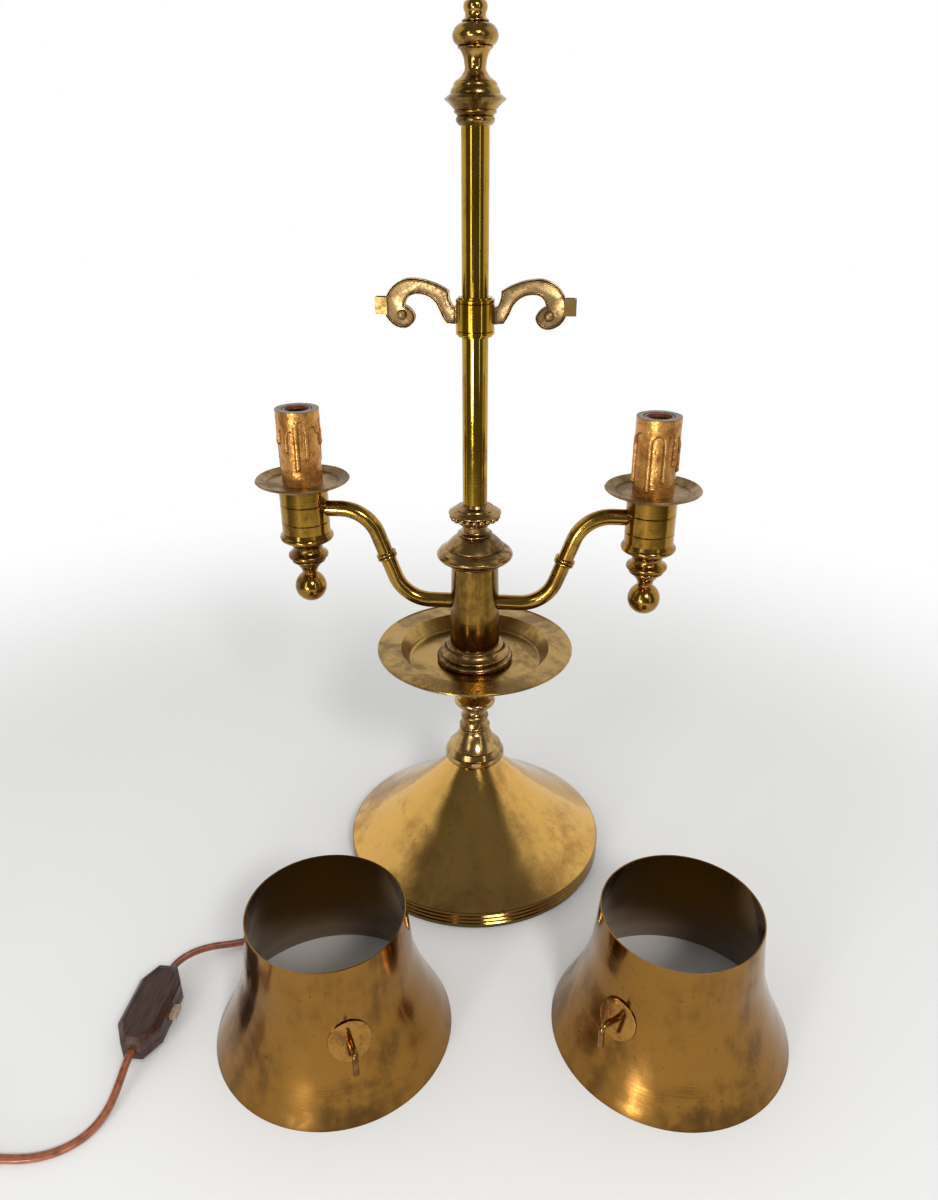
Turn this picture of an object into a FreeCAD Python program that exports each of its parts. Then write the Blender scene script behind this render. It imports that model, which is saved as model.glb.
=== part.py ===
import FreeCAD, Part
import math
import os
from FreeCAD import Vector

# Two-light bouillotte lamp in brass. Millimetres, +Z up.
# Origin: centre of the base's underside. The two arms lie along X.
# The two shades are off their brackets and stand in front of the base.

# General fits and stock
press_gap = 0.1          # radial play of a soldered or screwed joint
slide_gap = 0.05         # radial play of a sliding or turning fit
loose_gap = 0.3          # play round parts that just lie beside each other
thread_r = 5.0           # main tie rod and lamp nipples
thread_bore_r = 3.4
nut_across = 16.0
nut_h = 3.5
washer_r = 10.0
washer_t = 1.0

# Base
base_r = 97.4
felt_t = 1.5
felt_inset = 1.2
band_h = 13.2
band_ridges = 4
ridge_depth = 0.8
shell_t = 1.2
cone_shoulder_in = 1.2
cone_top_r = 17.2
cone_h = 67.3
cone_sag = 2.2
weight_t = 8.0
weight_lip_w = 6.0
weight_boss_r = 16.0
weight_boss_h = 16.5
weight_recess_r = 11.5
weight_recess_h = 13.5
weight_slot_w = 7.0

# Neck between base and drip pan
neck_r = 22.3
neck_h = 44.0
neck_waist_r = 7.3
neck_bead_r = 10.0
neck_ring_r = 14.8
neck_ring_h = 11.0
neck_tube_r = 8.3
neck_tube_h = 29.5
neck_tube_wall = 1.6

# Drip pan
pan_r = 70.3
pan_rim_inner_r = 54.2
pan_floor_r = 48.2
pan_depth = 10.2
pan_t = 1.1

# Column that carries the arms
foot_r = 27.4
foot_h = 18.6
foot_spigot_h = 5.0
column_top_r = 16.4
column_bottom_r = 17.8
column_wall = 1.3
column_h = 55.4
cap_flange_r = 26.1
cap_h = 29.4
cap_spigot_h = 6.0
cap_waist_r = 8.7
ring_r = 18.0
ring_h = 16.2
bead_count = 21
bead_r = 2.2
bead_seat = 0.3

# Stem and finial
stem_r = 8.3
stem_wall = 1.2
stem_h = 226.4
stem_spigot_h = 4.0
stem_rod_r = 4.0
finial_flange_r = 17.8
finial_base_h = 26.7
finial_bulb_r = 12.9
finial_body_h = 34.3
knob_r = 7.2
knob_neck_h = 4.2
knob_stud_r = 2.4
knob_stud_h = 5.0

# Arms, candle cups and lampholders
arm_r = 5.5
arm_wall = 1.0
arm_up_column = 27.3
arm_straight_x = 31.0
arm_bend_r = 27.0
arm_bend_deg = 70.0
arm_slope = 33.0
arm_bead_r = 7.2
arm_bead_h = 5.0
cup_x = 118.0
cup_r = 16.6
cup_wall = 1.2
cup_h = 33.0
cup_below_arm = 16.0
cup_drop_h = 54.0
drop_ball_r = 11.15
bobeche_r = 32.0
bobeche_step_r = 25.4
bobeche_t = 1.2
bobeche_lift = 3.4
sleeve_r = 13.6
sleeve_wall = 1.1
sleeve_h = 51.0
holder_r = 11.9
holder_h = 40.0
holder_mouth_r = 8.1
holder_shell_r = 7.0
holder_shell_wall = 0.8
holder_shell_h = 17.0
nipple_foot = 6.0
wire_r = 1.6
joint_r = 5.2
joint_h = 14.0

# Shade carrier on the stem
collar_r = 12.1
collar_h = 21.5
collar_up_stem = 121.55
liner_wall = 1.1
liner_lip = 1.0
scroll_t = 4.6
boss_r = 2.7
boss_t = 1.0
boss_at = (33.6, 0.85)
socket_w = 7.6
socket_h = 10.0
socket_wall = 1.1
socket_reach = 46.2
socket_rise = 6.25

# Shades
shade_r = 73.8
shade_top_r = 48.0
shade_h = 94.5
shade_t = 0.8
shade_lip_h = 11.0
shade_lip_r = 68.6
shade_waist_h = 53.0
shade_waist_r = 53.0
hook_h = 47.0
hook_r = 1.8
hook_reach = 14.0
hook_leg = 16.0
hook_bend_r = 3.2
plate_r = 12.5
plate_t = 0.9
left_shade_at = (-72.5, -183.5)
right_shade_at = (138.1, -164.1)
left_hook_deg = -65.5
right_hook_deg = -132.5

# Supply cord, switch and plug
cord_r = 2.0
cord_exit_deg = -139.0
cord_exit_z = 8.0
bush_r = 4.4
bush_flange_r = 6.0
bush_flange_t = 1.6
bush_inside = 2.5
core_r = 1.0
switch_at = (-188.5, -193.5)
switch_deg = 90.0
switch_len = 60.0
switch_w = 27.0
switch_h = 19.0
switch_end_w = 12.0
switch_chamfer = 3.0
switch_taper = 13.0
switch_wall = 1.8
clamp_in = 7.0
clamp_t = 5.0
clamp_w = 16.0
post_r = 3.4
screw_x = 16.5
screw_y = 7.2
screw_r = 1.5
screw_head_r = 2.8
switch_bar_w = 9.0
switch_bar_t = 4.0
switch_bar_out = 4.0     # bar proud of the side that is pressed
switch_bar_back = 0.2    # bar proud of the other side
cord_in = 5.0
coil_at = (-283.0, -322.0)
coil_turns_in = 4.0
coil_turns_out = 3.5
coil_inner_r = 14.5
coil_pitch = 5.15
coil_z = 2.15
plug_len = 36.0
plug_w = 13.8
plug_end_w = 35.3
plug_h = 13.7
pin_r = 2.0
pin_len = 19.0
pin_relief = 0.5         # turned-down neck of each pin just clear of the plug's face
pin_root_r = 1.7
pin_root_len = 6.0
pin_spacing = 19.0

# Free points of the cord's route, from base to switch, switch to coil and coil to plug
free_to_switch = (
    (-98.6, -84.2, 5.8), (-112.4, -95.9, 3.3), (-126.0, -108.8, 2.4), (-140.2, -121.2, 2.9),
    (-155.4, -130.6, 4.9), (-170.3, -137.2, 7.7), (-181.8, -146.2, 9.2))
free_to_coil = (
    (-187.6, -244.0, 7.4), (-188.3, -257.2, 4.0), (-192.6, -269.8, 2.3), (-201.5, -280.2, 2.05),
    (-214.7, -286.9, 2.15), (-230.6, -289.5, 2.05), (-247.4, -289.3, 2.1))
free_to_plug = ((-315.4, -291.6, 5.6), (-328.6, -291.0, 6.2))
plug_mouth = (-345.0, -291.8)


def turned(start, *steps):
    """Solid of revolution about Z. A step is (r, z) for a line or (r, z, mid_r, mid_z) for an arc."""
    here = Vector(start[0], 0, start[1])
    edges = []
    for step in steps + (start,):
        there = Vector(step[0], 0, step[1])
        if (there - here).Length < 1e-6:
            continue
        if len(step) == 4:
            middle = Vector(step[2], 0, step[3])
            edges.append(Part.Arc(here, middle, there).toShape())
        else:
            edges.append(Part.LineSegment(here, there).toShape())
        here = there
    face = Part.Face(Part.Wire(edges))
    return face.revolve(Vector(), Vector(0, 0, 1), 360)


def rod(radius, low, high, x=0, y=0):
    return Part.makeCylinder(radius, high - low, Vector(x, y, low))


def tube(outer, inner, low, high, x=0, y=0):
    return rod(outer, low, high, x, y).cut(rod(inner, low - 1, high + 1, x, y))


def block(centre, size):
    corner = [middle - width / 2 for middle, width in zip(centre, size)]
    return Part.makeBox(*size, Vector(*corner))


def hex_nut(across, bore, low, height, x=0):
    corner = across / math.sqrt(3)
    ring = [Vector(x + corner * math.cos(math.radians(60 * k)),
                   corner * math.sin(math.radians(60 * k)), low) for k in range(7)]
    body = Part.Face(Part.makePolygon(ring)).extrude(Vector(0, 0, height))
    return body.cut(rod(bore, low - 1, low + height + 1, x))


def placed(shape, x=0, y=0, z=0, turn=0):
    copy = shape.copy()
    copy.rotate(Vector(), Vector(0, 0, 1), turn)
    copy.translate(Vector(x, y, z))
    return copy


def swept(edges, radius):
    """Round tube along joined lines and arcs."""
    path = Part.Wire(edges)
    start = path.OrderedEdges[0]
    first = path.OrderedVertexes[0].Point
    ahead = start.tangentAt(start.getParameterByLength(0))
    if (start.valueAt(start.FirstParameter) - first).Length > 1e-4:
        ahead = start.tangentAt(start.LastParameter) * -1
    section = Part.Wire(Part.makeCircle(radius, first, ahead))
    return path.makePipeShell([section], True, False)


def rounded_route(points, largest=1e6):
    """Straight runs joined by tangent arcs, each as large as its two runs or the limit allow."""
    points = [Vector(*p) for p in points]
    edges, radii, here = [], [], points[0]
    for before, corner, after in zip(points, points[1:], points[2:]):
        back = (before - corner).normalize()
        onward = (after - corner).normalize()
        half_turn = (math.pi - back.getAngle(onward)) / 2
        shorter = min((corner - before).Length, (after - corner).Length)
        radius = min(0.45 * shorter / math.tan(half_turn), largest)
        cut = radius * math.tan(half_turn)
        towards_centre = (back + onward).normalize()
        middle = corner + towards_centre * (radius / math.cos(half_turn) - radius)
        start, end = corner + back * cut, corner + onward * cut
        edges.append(Part.LineSegment(here, start).toShape())
        edges.append(Part.Arc(start, middle, end).toShape())
        radii.append(radius)
        here = end
    edges.append(Part.LineSegment(here, points[-1]).toShape())
    return edges, radii


def cord_run(name, points, radius):
    edges, radii = rounded_route(points)
    shape = swept(edges, radius)
    length = sum(edge.Length for edge in edges)
    print(name, "radii", [round(r, 1) for r in radii], "length", round(length, 1),
          "volume ratio", round(shape.Volume / (math.pi * radius ** 2 * length), 4))
    return shape


parts = {}

# Base: felt, cast weight, spun shell
band_top = felt_t + band_h
shell_top = band_top + cone_h
shell_inner_r = base_r - ridge_depth - shell_t
parts["base_felt"] = rod(base_r - felt_inset, 0, felt_t)

ridge_h = band_h / band_ridges
outline = []
for k in range(band_ridges):
    low = felt_t + k * ridge_h
    outline += [(base_r, low + 0.25 * ridge_h), (base_r, low + 0.75 * ridge_h),
                (base_r - ridge_depth, low + ridge_h)]
cone_shoulder_r = base_r - cone_shoulder_in
outline[-1] = (cone_shoulder_r, band_top)
cone_mid_r = (cone_shoulder_r + cone_top_r) / 2 - cone_sag
cone_mid_z = band_top + cone_h / 2 - cone_sag
shell_drop = 1.45 * shell_t
shell = turned(
    (base_r - ridge_depth, felt_t), *outline,
    (cone_top_r, shell_top, cone_mid_r, cone_mid_z),
    (thread_r + loose_gap, shell_top), (thread_r + loose_gap, shell_top - shell_t),
    (cone_top_r - shell_t, shell_top - shell_t),
    (shell_inner_r, band_top - shell_t, cone_mid_r - shell_t, cone_mid_z - shell_drop),
    (shell_inner_r, felt_t))
exit_out = Vector(math.cos(math.radians(cord_exit_deg)), math.sin(math.radians(cord_exit_deg)), 0)
exit_height = Vector(0, 0, cord_exit_z)
cord_hole = Part.makeCylinder(bush_r + press_gap, 4 * shell_t + ridge_depth,
                              exit_height + exit_out * (shell_inner_r - shell_t), exit_out)
parts["base_shell"] = shell.cut(cord_hole)

weight_r = shell_inner_r - loose_gap
weight_top = band_top - shell_t
weight = turned(
    (weight_recess_r, felt_t), (weight_r, felt_t), (weight_r, weight_top),
    (weight_r - weight_lip_w / 2, weight_top), (weight_r - weight_lip_w, felt_t + weight_t),
    (weight_boss_r + 4, felt_t + weight_t), (weight_boss_r, felt_t + weight_boss_h),
    (thread_r + loose_gap, felt_t + weight_boss_h),
    (thread_r + loose_gap, felt_t + weight_recess_h),
    (weight_recess_r, felt_t + weight_recess_h))
slot = block((weight_r / 2 + bush_inside, 0, felt_t + weight_t / 2),
             (weight_r + 2 * bush_inside - weight_recess_r, weight_slot_w, weight_t))
bush_pocket = Part.makeCylinder(bush_flange_r + loose_gap, weight_lip_w + bush_flange_r,
                                Vector(weight_r - weight_lip_w, 0, cord_exit_z), Vector(1, 0, 0))
parts["base_weight"] = weight.cut(placed(slot.fuse(bush_pocket), turn=cord_exit_deg))

# Cord bush in the base's rim and the cord's two cores up to the column
bush_start = shell_inner_r - bush_inside
bush = Part.makeCylinder(bush_r, base_r + bush_flange_t - bush_start, Vector(bush_start, 0, 0),
                         Vector(1, 0, 0))
for at in (bush_start, base_r + press_gap):
    bush = bush.fuse(Part.makeCylinder(bush_flange_r, bush_flange_t, Vector(at, 0, 0),
                                       Vector(1, 0, 0)))
bush = bush.cut(Part.makeCylinder(cord_r + slide_gap, 30, Vector(bush_start - 5, 0, 0),
                                  Vector(1, 0, 0)))
parts["cord_bush"] = placed(bush, z=cord_exit_z, turn=cord_exit_deg)

# Tie rod clamps weight, shell, neck, drip pan and column foot together
washer_z = felt_t + weight_recess_h - washer_t
nut_z = washer_z - nut_h
pan_z = shell_top + neck_h + neck_ring_h + neck_tube_h
foot_z = pan_z + pan_t
foot_top = foot_z + foot_h
rod_low = nut_z - 0.6
rod_high = foot_top + nut_h + 1.2
parts["base_washer"] = tube(washer_r, thread_r + press_gap, washer_z, washer_z + washer_t)
tie_nut = hex_nut(nut_across, thread_r + press_gap, nut_z, nut_h)
parts["tie_rod_nuts"] = Part.Compound([tie_nut, placed(tie_nut, z=foot_top - nut_z)])
parts["tie_rod"] = tube(thread_r, thread_bore_r, rod_low, rod_high)

# Neck: turned bell with two cut lines and a double ring, big ring, plain tube
bore = thread_r + press_gap
z = shell_top
top = shell_top + neck_h
line_w = 0.5
parts["neck_bell"] = turned(
    (bore, z), (neck_r - 3.6, z), (neck_r, z + 4.2, neck_r - 0.7, z + 1.6),
    (neck_r - 0.4, z + 6.4), (neck_r - 1.3, z + 6.4 + line_w), (neck_r - 1.0, z + 6.4 + 2 * line_w),
    (neck_r - 2.6, z + 11.4), (neck_r - 3.5, z + 11.4 + line_w),
    (neck_r - 3.5, z + 11.4 + 2 * line_w),
    (neck_bead_r + 1.4, top - 20.0, neck_r - 8.0, (z + top) / 2 - 4.0),
    (neck_bead_r + 0.3, top - 18.5), (neck_bead_r + 0.3, top - 16.4, neck_bead_r + 1.4, top - 17.5),
    (neck_bead_r + 0.3, top - 14.0, neck_bead_r + 1.4, top - 15.2),
    (neck_bead_r - 0.6, top - 11.0), (neck_bead_r - 0.6, top - 9.2),
    (neck_bead_r - 0.8, top - 5.0, neck_bead_r + 0.3, top - 7.2),
    (neck_waist_r, top - 2.0, neck_waist_r + 0.5, top - 3.8), (neck_waist_r, top), (bore, top))
z = top
parts["neck_ring"] = turned(
    (bore, z), (neck_waist_r + 0.8, z), (neck_ring_r - 2, z + 3.0, neck_ring_r - 4.2, z + 1.0),
    (neck_ring_r - 2, z + 8.8, neck_ring_r + 0.2, z + 5.9),
    (neck_tube_r + 0.9, z + neck_ring_h, neck_ring_r - 4.2, z + 10.2), (bore, z + neck_ring_h))
z += neck_ring_h
parts["neck_tube"] = turned(
    (bore, z), (neck_tube_r, z), (neck_tube_r, pan_z - 2.4), (neck_tube_r + 3, pan_z - 1.2),
    (neck_tube_r + 3, pan_z), (bore, pan_z), (bore, pan_z - neck_tube_wall * 2),
    (neck_tube_r - neck_tube_wall, pan_z - neck_tube_wall * 2 - 2),
    (neck_tube_r - neck_tube_wall, z + neck_tube_wall * 2), (bore, z + neck_tube_wall))

# Drip pan: flat floor, sloped wall, wide flat rim with a turned-down edge
rim_z = pan_z + pan_depth
parts["drip_pan"] = turned(
    (bore, pan_z), (pan_floor_r - 2, pan_z), (pan_floor_r + 1.4, pan_z + 2.4, pan_floor_r + 0.6, pan_z + 0.6),
    (pan_rim_inner_r, rim_z), (pan_r - 0.9, rim_z), (pan_r, rim_z + 0.9, pan_r - 0.1, rim_z + 0.1),
    (pan_r - 0.7, rim_z + 1.7, pan_r - 0.1, rim_z + 1.6), (pan_r - 1.4, rim_z + pan_t),
    (pan_rim_inner_r - 0.7, rim_z + pan_t), (pan_floor_r + 0.2, pan_z + 3.0),
    (pan_floor_r - 2.4, foot_z, pan_floor_r - 0.6, foot_z + 0.5), (bore, foot_z))

# Column: moulded foot, tapered tube, moulded cap, beaded ring
column_inner_r = column_top_r - column_wall
column_low = foot_top - foot_spigot_h
column_top_z = foot_top + column_h
arm_z = foot_top + arm_up_column
spigot_r = column_inner_r - press_gap
parts["column_foot"] = turned(
    (bore, foot_z), (foot_r - 2.2, foot_z), (foot_r - 2.2, foot_z + 4.6, foot_r, foot_z + 2.3),
    (foot_r - 3.2, foot_z + 5.2), (foot_r - 3.6, foot_z + 7.6, foot_r - 2.4, foot_z + 6.4),
    (foot_r - 7.0, column_low - 2.0, foot_r - 5.6, (foot_z + column_low) / 2 + 2.2),
    (column_bottom_r + 1.4, column_low - 0.6, column_bottom_r + 2.8, column_low - 1.0),
    (column_bottom_r + 0.8, column_low), (spigot_r, column_low), (spigot_r, foot_top), (bore, foot_top))
column = turned(
    (column_inner_r, column_low), (column_bottom_r, column_low), (column_top_r, column_top_z),
    (column_inner_r, column_top_z))
arm_hole = Part.makeCylinder(arm_r + press_gap, 4 * column_bottom_r,
                             Vector(-2 * column_bottom_r, 0, arm_z), Vector(1, 0, 0))
parts["column_tube"] = column.cut(arm_hole)

z = column_top_z
rod_hole_r = stem_rod_r + press_gap
cap_step_r = 20.8
cap_top = z + cap_h
cap = turned(
    (rod_hole_r, z - cap_spigot_h), (spigot_r, z - cap_spigot_h), (spigot_r, z),
    (column_top_r, z), (column_top_r, z + 1.8, column_top_r + 1.0, z + 0.9),
    (cap_step_r - 1.6, z + 2.6, column_top_r + 1.8, z + 2.1), (cap_step_r - 0.6, z + 4.0, cap_step_r - 0.7, z + 3.2),
    (cap_flange_r - 1.8, z + 5.6, cap_step_r + 1.6, z + 4.7),
    (cap_flange_r - 0.6, z + 6.8), (cap_flange_r - 0.6, z + 10.4, cap_flange_r + 0.3, z + 8.6),
    (cap_flange_r - 1.8, z + 11.8), (cap_step_r, z + 13.8), (cap_step_r - 0.9, z + 14.0),
    (cap_step_r - 0.9, z + 15.0), (cap_waist_r + 2.6, cap_top - 6.4, cap_waist_r + 7.5, (z + cap_top) / 2 + 4.6),
    (cap_waist_r + 2.6, cap_top - 4.8, cap_waist_r + 3.3, cap_top - 5.6),
    (cap_waist_r, cap_top - 2.4, cap_waist_r + 0.6, cap_top - 3.9), (cap_waist_r, cap_top),
    (rod_hole_r, cap_top))
parts["column_cap"] = cap
z = cap_top
bead_orbit_r = ring_r - bead_r - 0.6
bead_z = z + 6.9
bead_inner_r = bead_orbit_r - bead_r - slide_gap
bead_top = bead_z + bead_r - bead_seat
ring_top = z + ring_h
tube_spigot_r = stem_r - stem_wall - press_gap
parts["beaded_ring"] = turned(
    (rod_hole_r, z), (cap_waist_r + 0.5, z), (bead_inner_r, bead_z - 1.6, cap_waist_r + 1.7, bead_z - 4.0),
    (bead_inner_r, bead_top), (ring_r - 0.8, bead_top),
    (ring_r - 0.8, bead_top + 1.4, ring_r, bead_top + 0.7), (ring_r - 3.4, bead_top + 3.2),
    (ring_r - 4.4, bead_top + 3.4), (ring_r - 7.2, bead_top + 5.2, ring_r - 5.1, bead_top + 4.7),
    (stem_r + 1.2, ring_top - 1.6, stem_r + 1.7, ring_top - 1.9), (stem_r + 0.5, ring_top), (tube_spigot_r, ring_top), (tube_spigot_r, ring_top + stem_spigot_h),
    (rod_hole_r, ring_top + stem_spigot_h))
beads = []
bead_latitude = math.degrees(math.asin((bead_r - bead_seat) / bead_r))
for k in range(bead_count):
    angle = 2 * math.pi * k / bead_count
    centre = Vector(bead_orbit_r * math.cos(angle), bead_orbit_r * math.sin(angle), bead_z)
    beads.append(Part.makeSphere(bead_r, centre, Vector(0, 0, 1), -90, bead_latitude, 360))
parts["ring_beads"] = Part.Compound(beads)

# Stem and finial, drawn down by one threaded rod
stem_top = ring_top + stem_h
parts["stem_tube"] = tube(stem_r, stem_r - stem_wall, ring_top, stem_top)
z = stem_top
finial_split = z + finial_base_h
parts["finial_base"] = turned(
    (rod_hole_r, z - stem_spigot_h), (tube_spigot_r, z - stem_spigot_h), (tube_spigot_r, z),
    (stem_r + 0.3, z), (stem_r + 2.0, z + 1.2, stem_r + 1.0, z + 0.3),
    (stem_r + 2.0, z + 5.0, stem_r + 2.9, z + 3.1), (stem_r + 2.9, z + 6.0),
    (stem_r + 3.6, z + 8.0, stem_r + 3.9, z + 7.0), (finial_flange_r - 3, z + 11.0),
    (finial_flange_r, z + 13.4), (finial_flange_r - 1.8, z + 15.0), (finial_flange_r - 3.4, z + 16.0),
    (finial_flange_r - 5.3, z + 19.9, finial_flange_r - 4.0, z + 18.2),
    (finial_flange_r - 7.1, z + 22.8, finial_flange_r - 5.9, z + 21.8),
    (finial_flange_r - 9.8, z + 24.8), (finial_flange_r - 11.1, finial_split),
    (rod_hole_r, finial_split))
z = finial_split
knob_z = z + finial_body_h
rod_end_z = knob_z - knob_stud_h - press_gap
parts["finial"] = turned(
    (rod_hole_r, z), (6.7, z), (6.2, z + 3.7, 6.0, z + 1.8), (8.7, z + 10.8, 6.9, z + 7.4),
    (9.5, z + 11.3), (9.5, z + 12.3, 10.0, z + 11.8), (finial_bulb_r - 3.0, z + 12.6),
    (finial_bulb_r - 0.5, z + 15.4, finial_bulb_r - 1.4, z + 13.8),
    (finial_bulb_r - 0.6, z + 19.4, finial_bulb_r, z + 17.4),
    (8.3, z + 23.3, 11.1, z + 21.4), (7.2, z + 23.8), (7.2, z + 24.9, 7.6, z + 24.3),
    (6.2, z + 25.6), (6.1, z + 28.7, 5.7, z + 27.2), (6.1, z + 33.2, 6.7, z + 31.0), (4.6, knob_z),
    (knob_stud_r + press_gap, knob_z), (knob_stud_r + press_gap, rod_end_z), (rod_hole_r, rod_end_z))
parts["finial_knob"] = turned(
    (0, knob_z - knob_stud_h), (knob_stud_r, knob_z - knob_stud_h), (knob_stud_r, knob_z), (4.6, knob_z),
    (3.6, knob_z + knob_neck_h, 3.4, knob_z + 2.0),
    (knob_r, knob_z + knob_neck_h + 6.2, knob_r * 0.82, knob_z + knob_neck_h + 1.9),
    (2.0, knob_z + knob_neck_h + 12.6, knob_r * 0.78, knob_z + knob_neck_h + 10.7),
    (0.8, knob_z + knob_neck_h + 13.4, 1.5, knob_z + knob_neck_h + 13.2),
    (0, knob_z + knob_neck_h + 13.4))
parts["stem_rod"] = rod(stem_rod_r, column_top_z - cap_spigot_h - 3, rod_end_z - press_gap)

# Arms: S-bent tube from the column wall to the cup wall, the left one mirrored
bend = math.radians(arm_bend_deg)
arm_rise = 2 * arm_bend_r * (1 - math.cos(bend)) + arm_slope * math.sin(bend)
arm_run = 2 * arm_bend_r * math.sin(bend) + arm_slope * math.cos(bend)
cup_arm_z = arm_z + arm_rise
bend_end_x = arm_straight_x + arm_run
arm_start_x = column_inner_r - 1.5
arm_end_x = cup_x - cup_r + cup_wall
lower_centre = Vector(arm_straight_x, 0, arm_z + arm_bend_r)
upper_centre = Vector(bend_end_x, 0, cup_arm_z - arm_bend_r)


def around(centre, deg):
    angle = math.radians(deg)
    return centre + Vector(math.cos(angle), 0, math.sin(angle)) * arm_bend_r


slope_low = around(lower_centre, arm_bend_deg - 90)
slope_high = around(upper_centre, arm_bend_deg + 90)


def arm_line(start_x, end_x):
    return [
        Part.LineSegment(Vector(start_x, 0, arm_z), Vector(arm_straight_x, 0, arm_z)).toShape(),
        Part.Arc(Vector(arm_straight_x, 0, arm_z), around(lower_centre, arm_bend_deg / 2 - 90),
                 slope_low).toShape(),
        Part.LineSegment(slope_low, slope_high).toShape(),
        Part.Arc(slope_high, around(upper_centre, arm_bend_deg / 2 + 90),
                 Vector(bend_end_x, 0, cup_arm_z)).toShape(),
        Part.LineSegment(Vector(bend_end_x, 0, cup_arm_z), Vector(end_x, 0, cup_arm_z)).toShape(),
    ]


arm_solid = swept(arm_line(arm_start_x, arm_end_x), arm_r)
arm_hollow = swept(arm_line(arm_start_x - 2, arm_end_x + 2), arm_r - arm_wall)
arm = arm_solid.cut(arm_hollow)
arm_bead = turned(
    (arm_r + press_gap, -arm_bead_h / 2), (arm_bead_r - 1, -arm_bead_h / 2),
    (arm_bead_r - 0.9, 0, arm_bead_r, -arm_bead_h / 4),
    (arm_bead_r - 1, arm_bead_h / 2, arm_bead_r, arm_bead_h / 4), (arm_r + press_gap, arm_bead_h / 2))
arm_bead.rotate(Vector(), Vector(0, 1, 0), 90 - arm_bend_deg)
arm_bead.translate((slope_low + slope_high) / 2)

# Candle cup: hanging drop, cylindrical cup, dish, sleeve and lampholder
cup_z = cup_arm_z - cup_below_arm
cup_top = cup_z + cup_h
drop_z = cup_z - cup_drop_h
nipple_bore = thread_r + press_gap
ball_z = drop_z + drop_ball_r
drop_neck_r = 0.315 * cup_r
ball_rise = math.sqrt(drop_ball_r ** 2 - drop_neck_r ** 2)


def drop_point(radius, up, mid_radius=None, mid_up=None):
    """Point of the drop's moulding, in hundredths of the cup's radius and of the drop's height."""
    point = (radius * cup_r / 100, drop_z + up * cup_drop_h / 100)
    if mid_up is None:
        return point
    return point + (mid_radius * cup_r / 100, drop_z + mid_up * cup_drop_h / 100)


drop = turned(
    (0, drop_z), (drop_neck_r, ball_z + ball_rise, drop_ball_r, ball_z), (drop_neck_r, drop_point(0, 41.6)[1]),
    drop_point(48.2, 51.4, 37.0, 46.6), drop_point(50.0, 53.0), drop_point(63.0, 56.0, 54.6, 55.0),
    drop_point(68.0, 57.0), drop_point(68.0, 60.6, 71.8, 58.8), drop_point(76.0, 62.0),
    drop_point(76.0, 69.2, 84.6, 65.6), drop_point(66.0, 71.8), drop_point(66.0, 80.4, 62.0, 76.1),
    drop_point(90.0, 85.4, 75.0, 83.9), drop_point(104.8, 88.0),
    drop_point(104.8, 95.2, 111.8, 91.6), (cup_r, cup_z), (nipple_bore, cup_z),
    (nipple_bore, cup_z - nipple_foot), (0, cup_z - nipple_foot))
groove = 0.5
cup_lines = (6.5, 19.6)
cup_edge = [(cup_r, cup_z)]
for line in cup_lines:
    cup_edge += [(cup_r, cup_z + line), (cup_r - groove, cup_z + line + groove),
                 (cup_r, cup_z + line + 2 * groove)]
cup = turned(
    (nipple_bore, cup_z), *cup_edge, (cup_r, cup_top - 1.6), (cup_r + 0.9, cup_top),
    (cup_r - cup_wall, cup_top), (cup_r - cup_wall, cup_z + 2.2), (nipple_bore, cup_z + 2.2))
cup = placed(cup, x=cup_x).cut(Part.makeCylinder(
    arm_r + press_gap, 2 * cup_wall + 3, Vector(arm_end_x - 2 * cup_wall - 2, 0, cup_arm_z),
    Vector(1, 0, 0)))

dish_z = cup_top
sleeve_z = dish_z + bobeche_t
bobeche = turned(
    (nipple_bore, dish_z), (cup_r + 0.6, dish_z), (bobeche_step_r - 1.6, dish_z),
    (bobeche_step_r, dish_z + 1.0, bobeche_step_r - 0.4, dish_z + 0.2),
    (bobeche_r - 0.6, dish_z + bobeche_lift - 0.4), (bobeche_r, dish_z + bobeche_lift + 0.3),
    (bobeche_r - 0.7, dish_z + bobeche_lift + bobeche_t),
    (bobeche_step_r - 0.7, dish_z + 1.0 + bobeche_t),
    (bobeche_step_r - 2.0, sleeve_z, bobeche_step_r - 1.0, sleeve_z + 0.2), (nipple_bore, sleeve_z))
sleeve_top = sleeve_z + sleeve_h
sleeve_mouth_r = holder_mouth_r + 1.5
sleeve = turned(
    (sleeve_r - sleeve_wall, sleeve_z), (sleeve_r, sleeve_z), (sleeve_r, sleeve_top),
    (sleeve_mouth_r, sleeve_top), (sleeve_mouth_r, sleeve_top - 1.2),
    (sleeve_r - sleeve_wall, sleeve_top - 1.2))
holder_top = sleeve_top - 1.2 - slide_gap
holder_z = holder_top - holder_h
nipple_top = holder_z + 5.0
shell_r = holder_shell_r + holder_shell_wall
shell_top_z = holder_top - 1.0
shell_low_z = shell_top_z - holder_shell_h
contact_z = shell_low_z - 3.0
neck_h_in = sleeve_top - 0.4 - holder_top
holder = turned(
    (nipple_bore, holder_z), (holder_r, holder_z), (holder_r, holder_top),
    (sleeve_mouth_r - press_gap, holder_top), (sleeve_mouth_r - press_gap, holder_top + neck_h_in),
    (holder_mouth_r, holder_top + neck_h_in), (holder_mouth_r, shell_low_z),
    (shell_r - 2.4, shell_low_z), (shell_r - 2.4, contact_z),
    (wire_r + press_gap, contact_z), (wire_r + press_gap, nipple_top + 0.4),
    (nipple_bore, nipple_top + 0.4))
holder_shell = turned(
    (holder_shell_r, shell_low_z), (shell_r, shell_low_z), (shell_r, shell_top_z),
    (holder_shell_r, shell_top_z))
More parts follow.
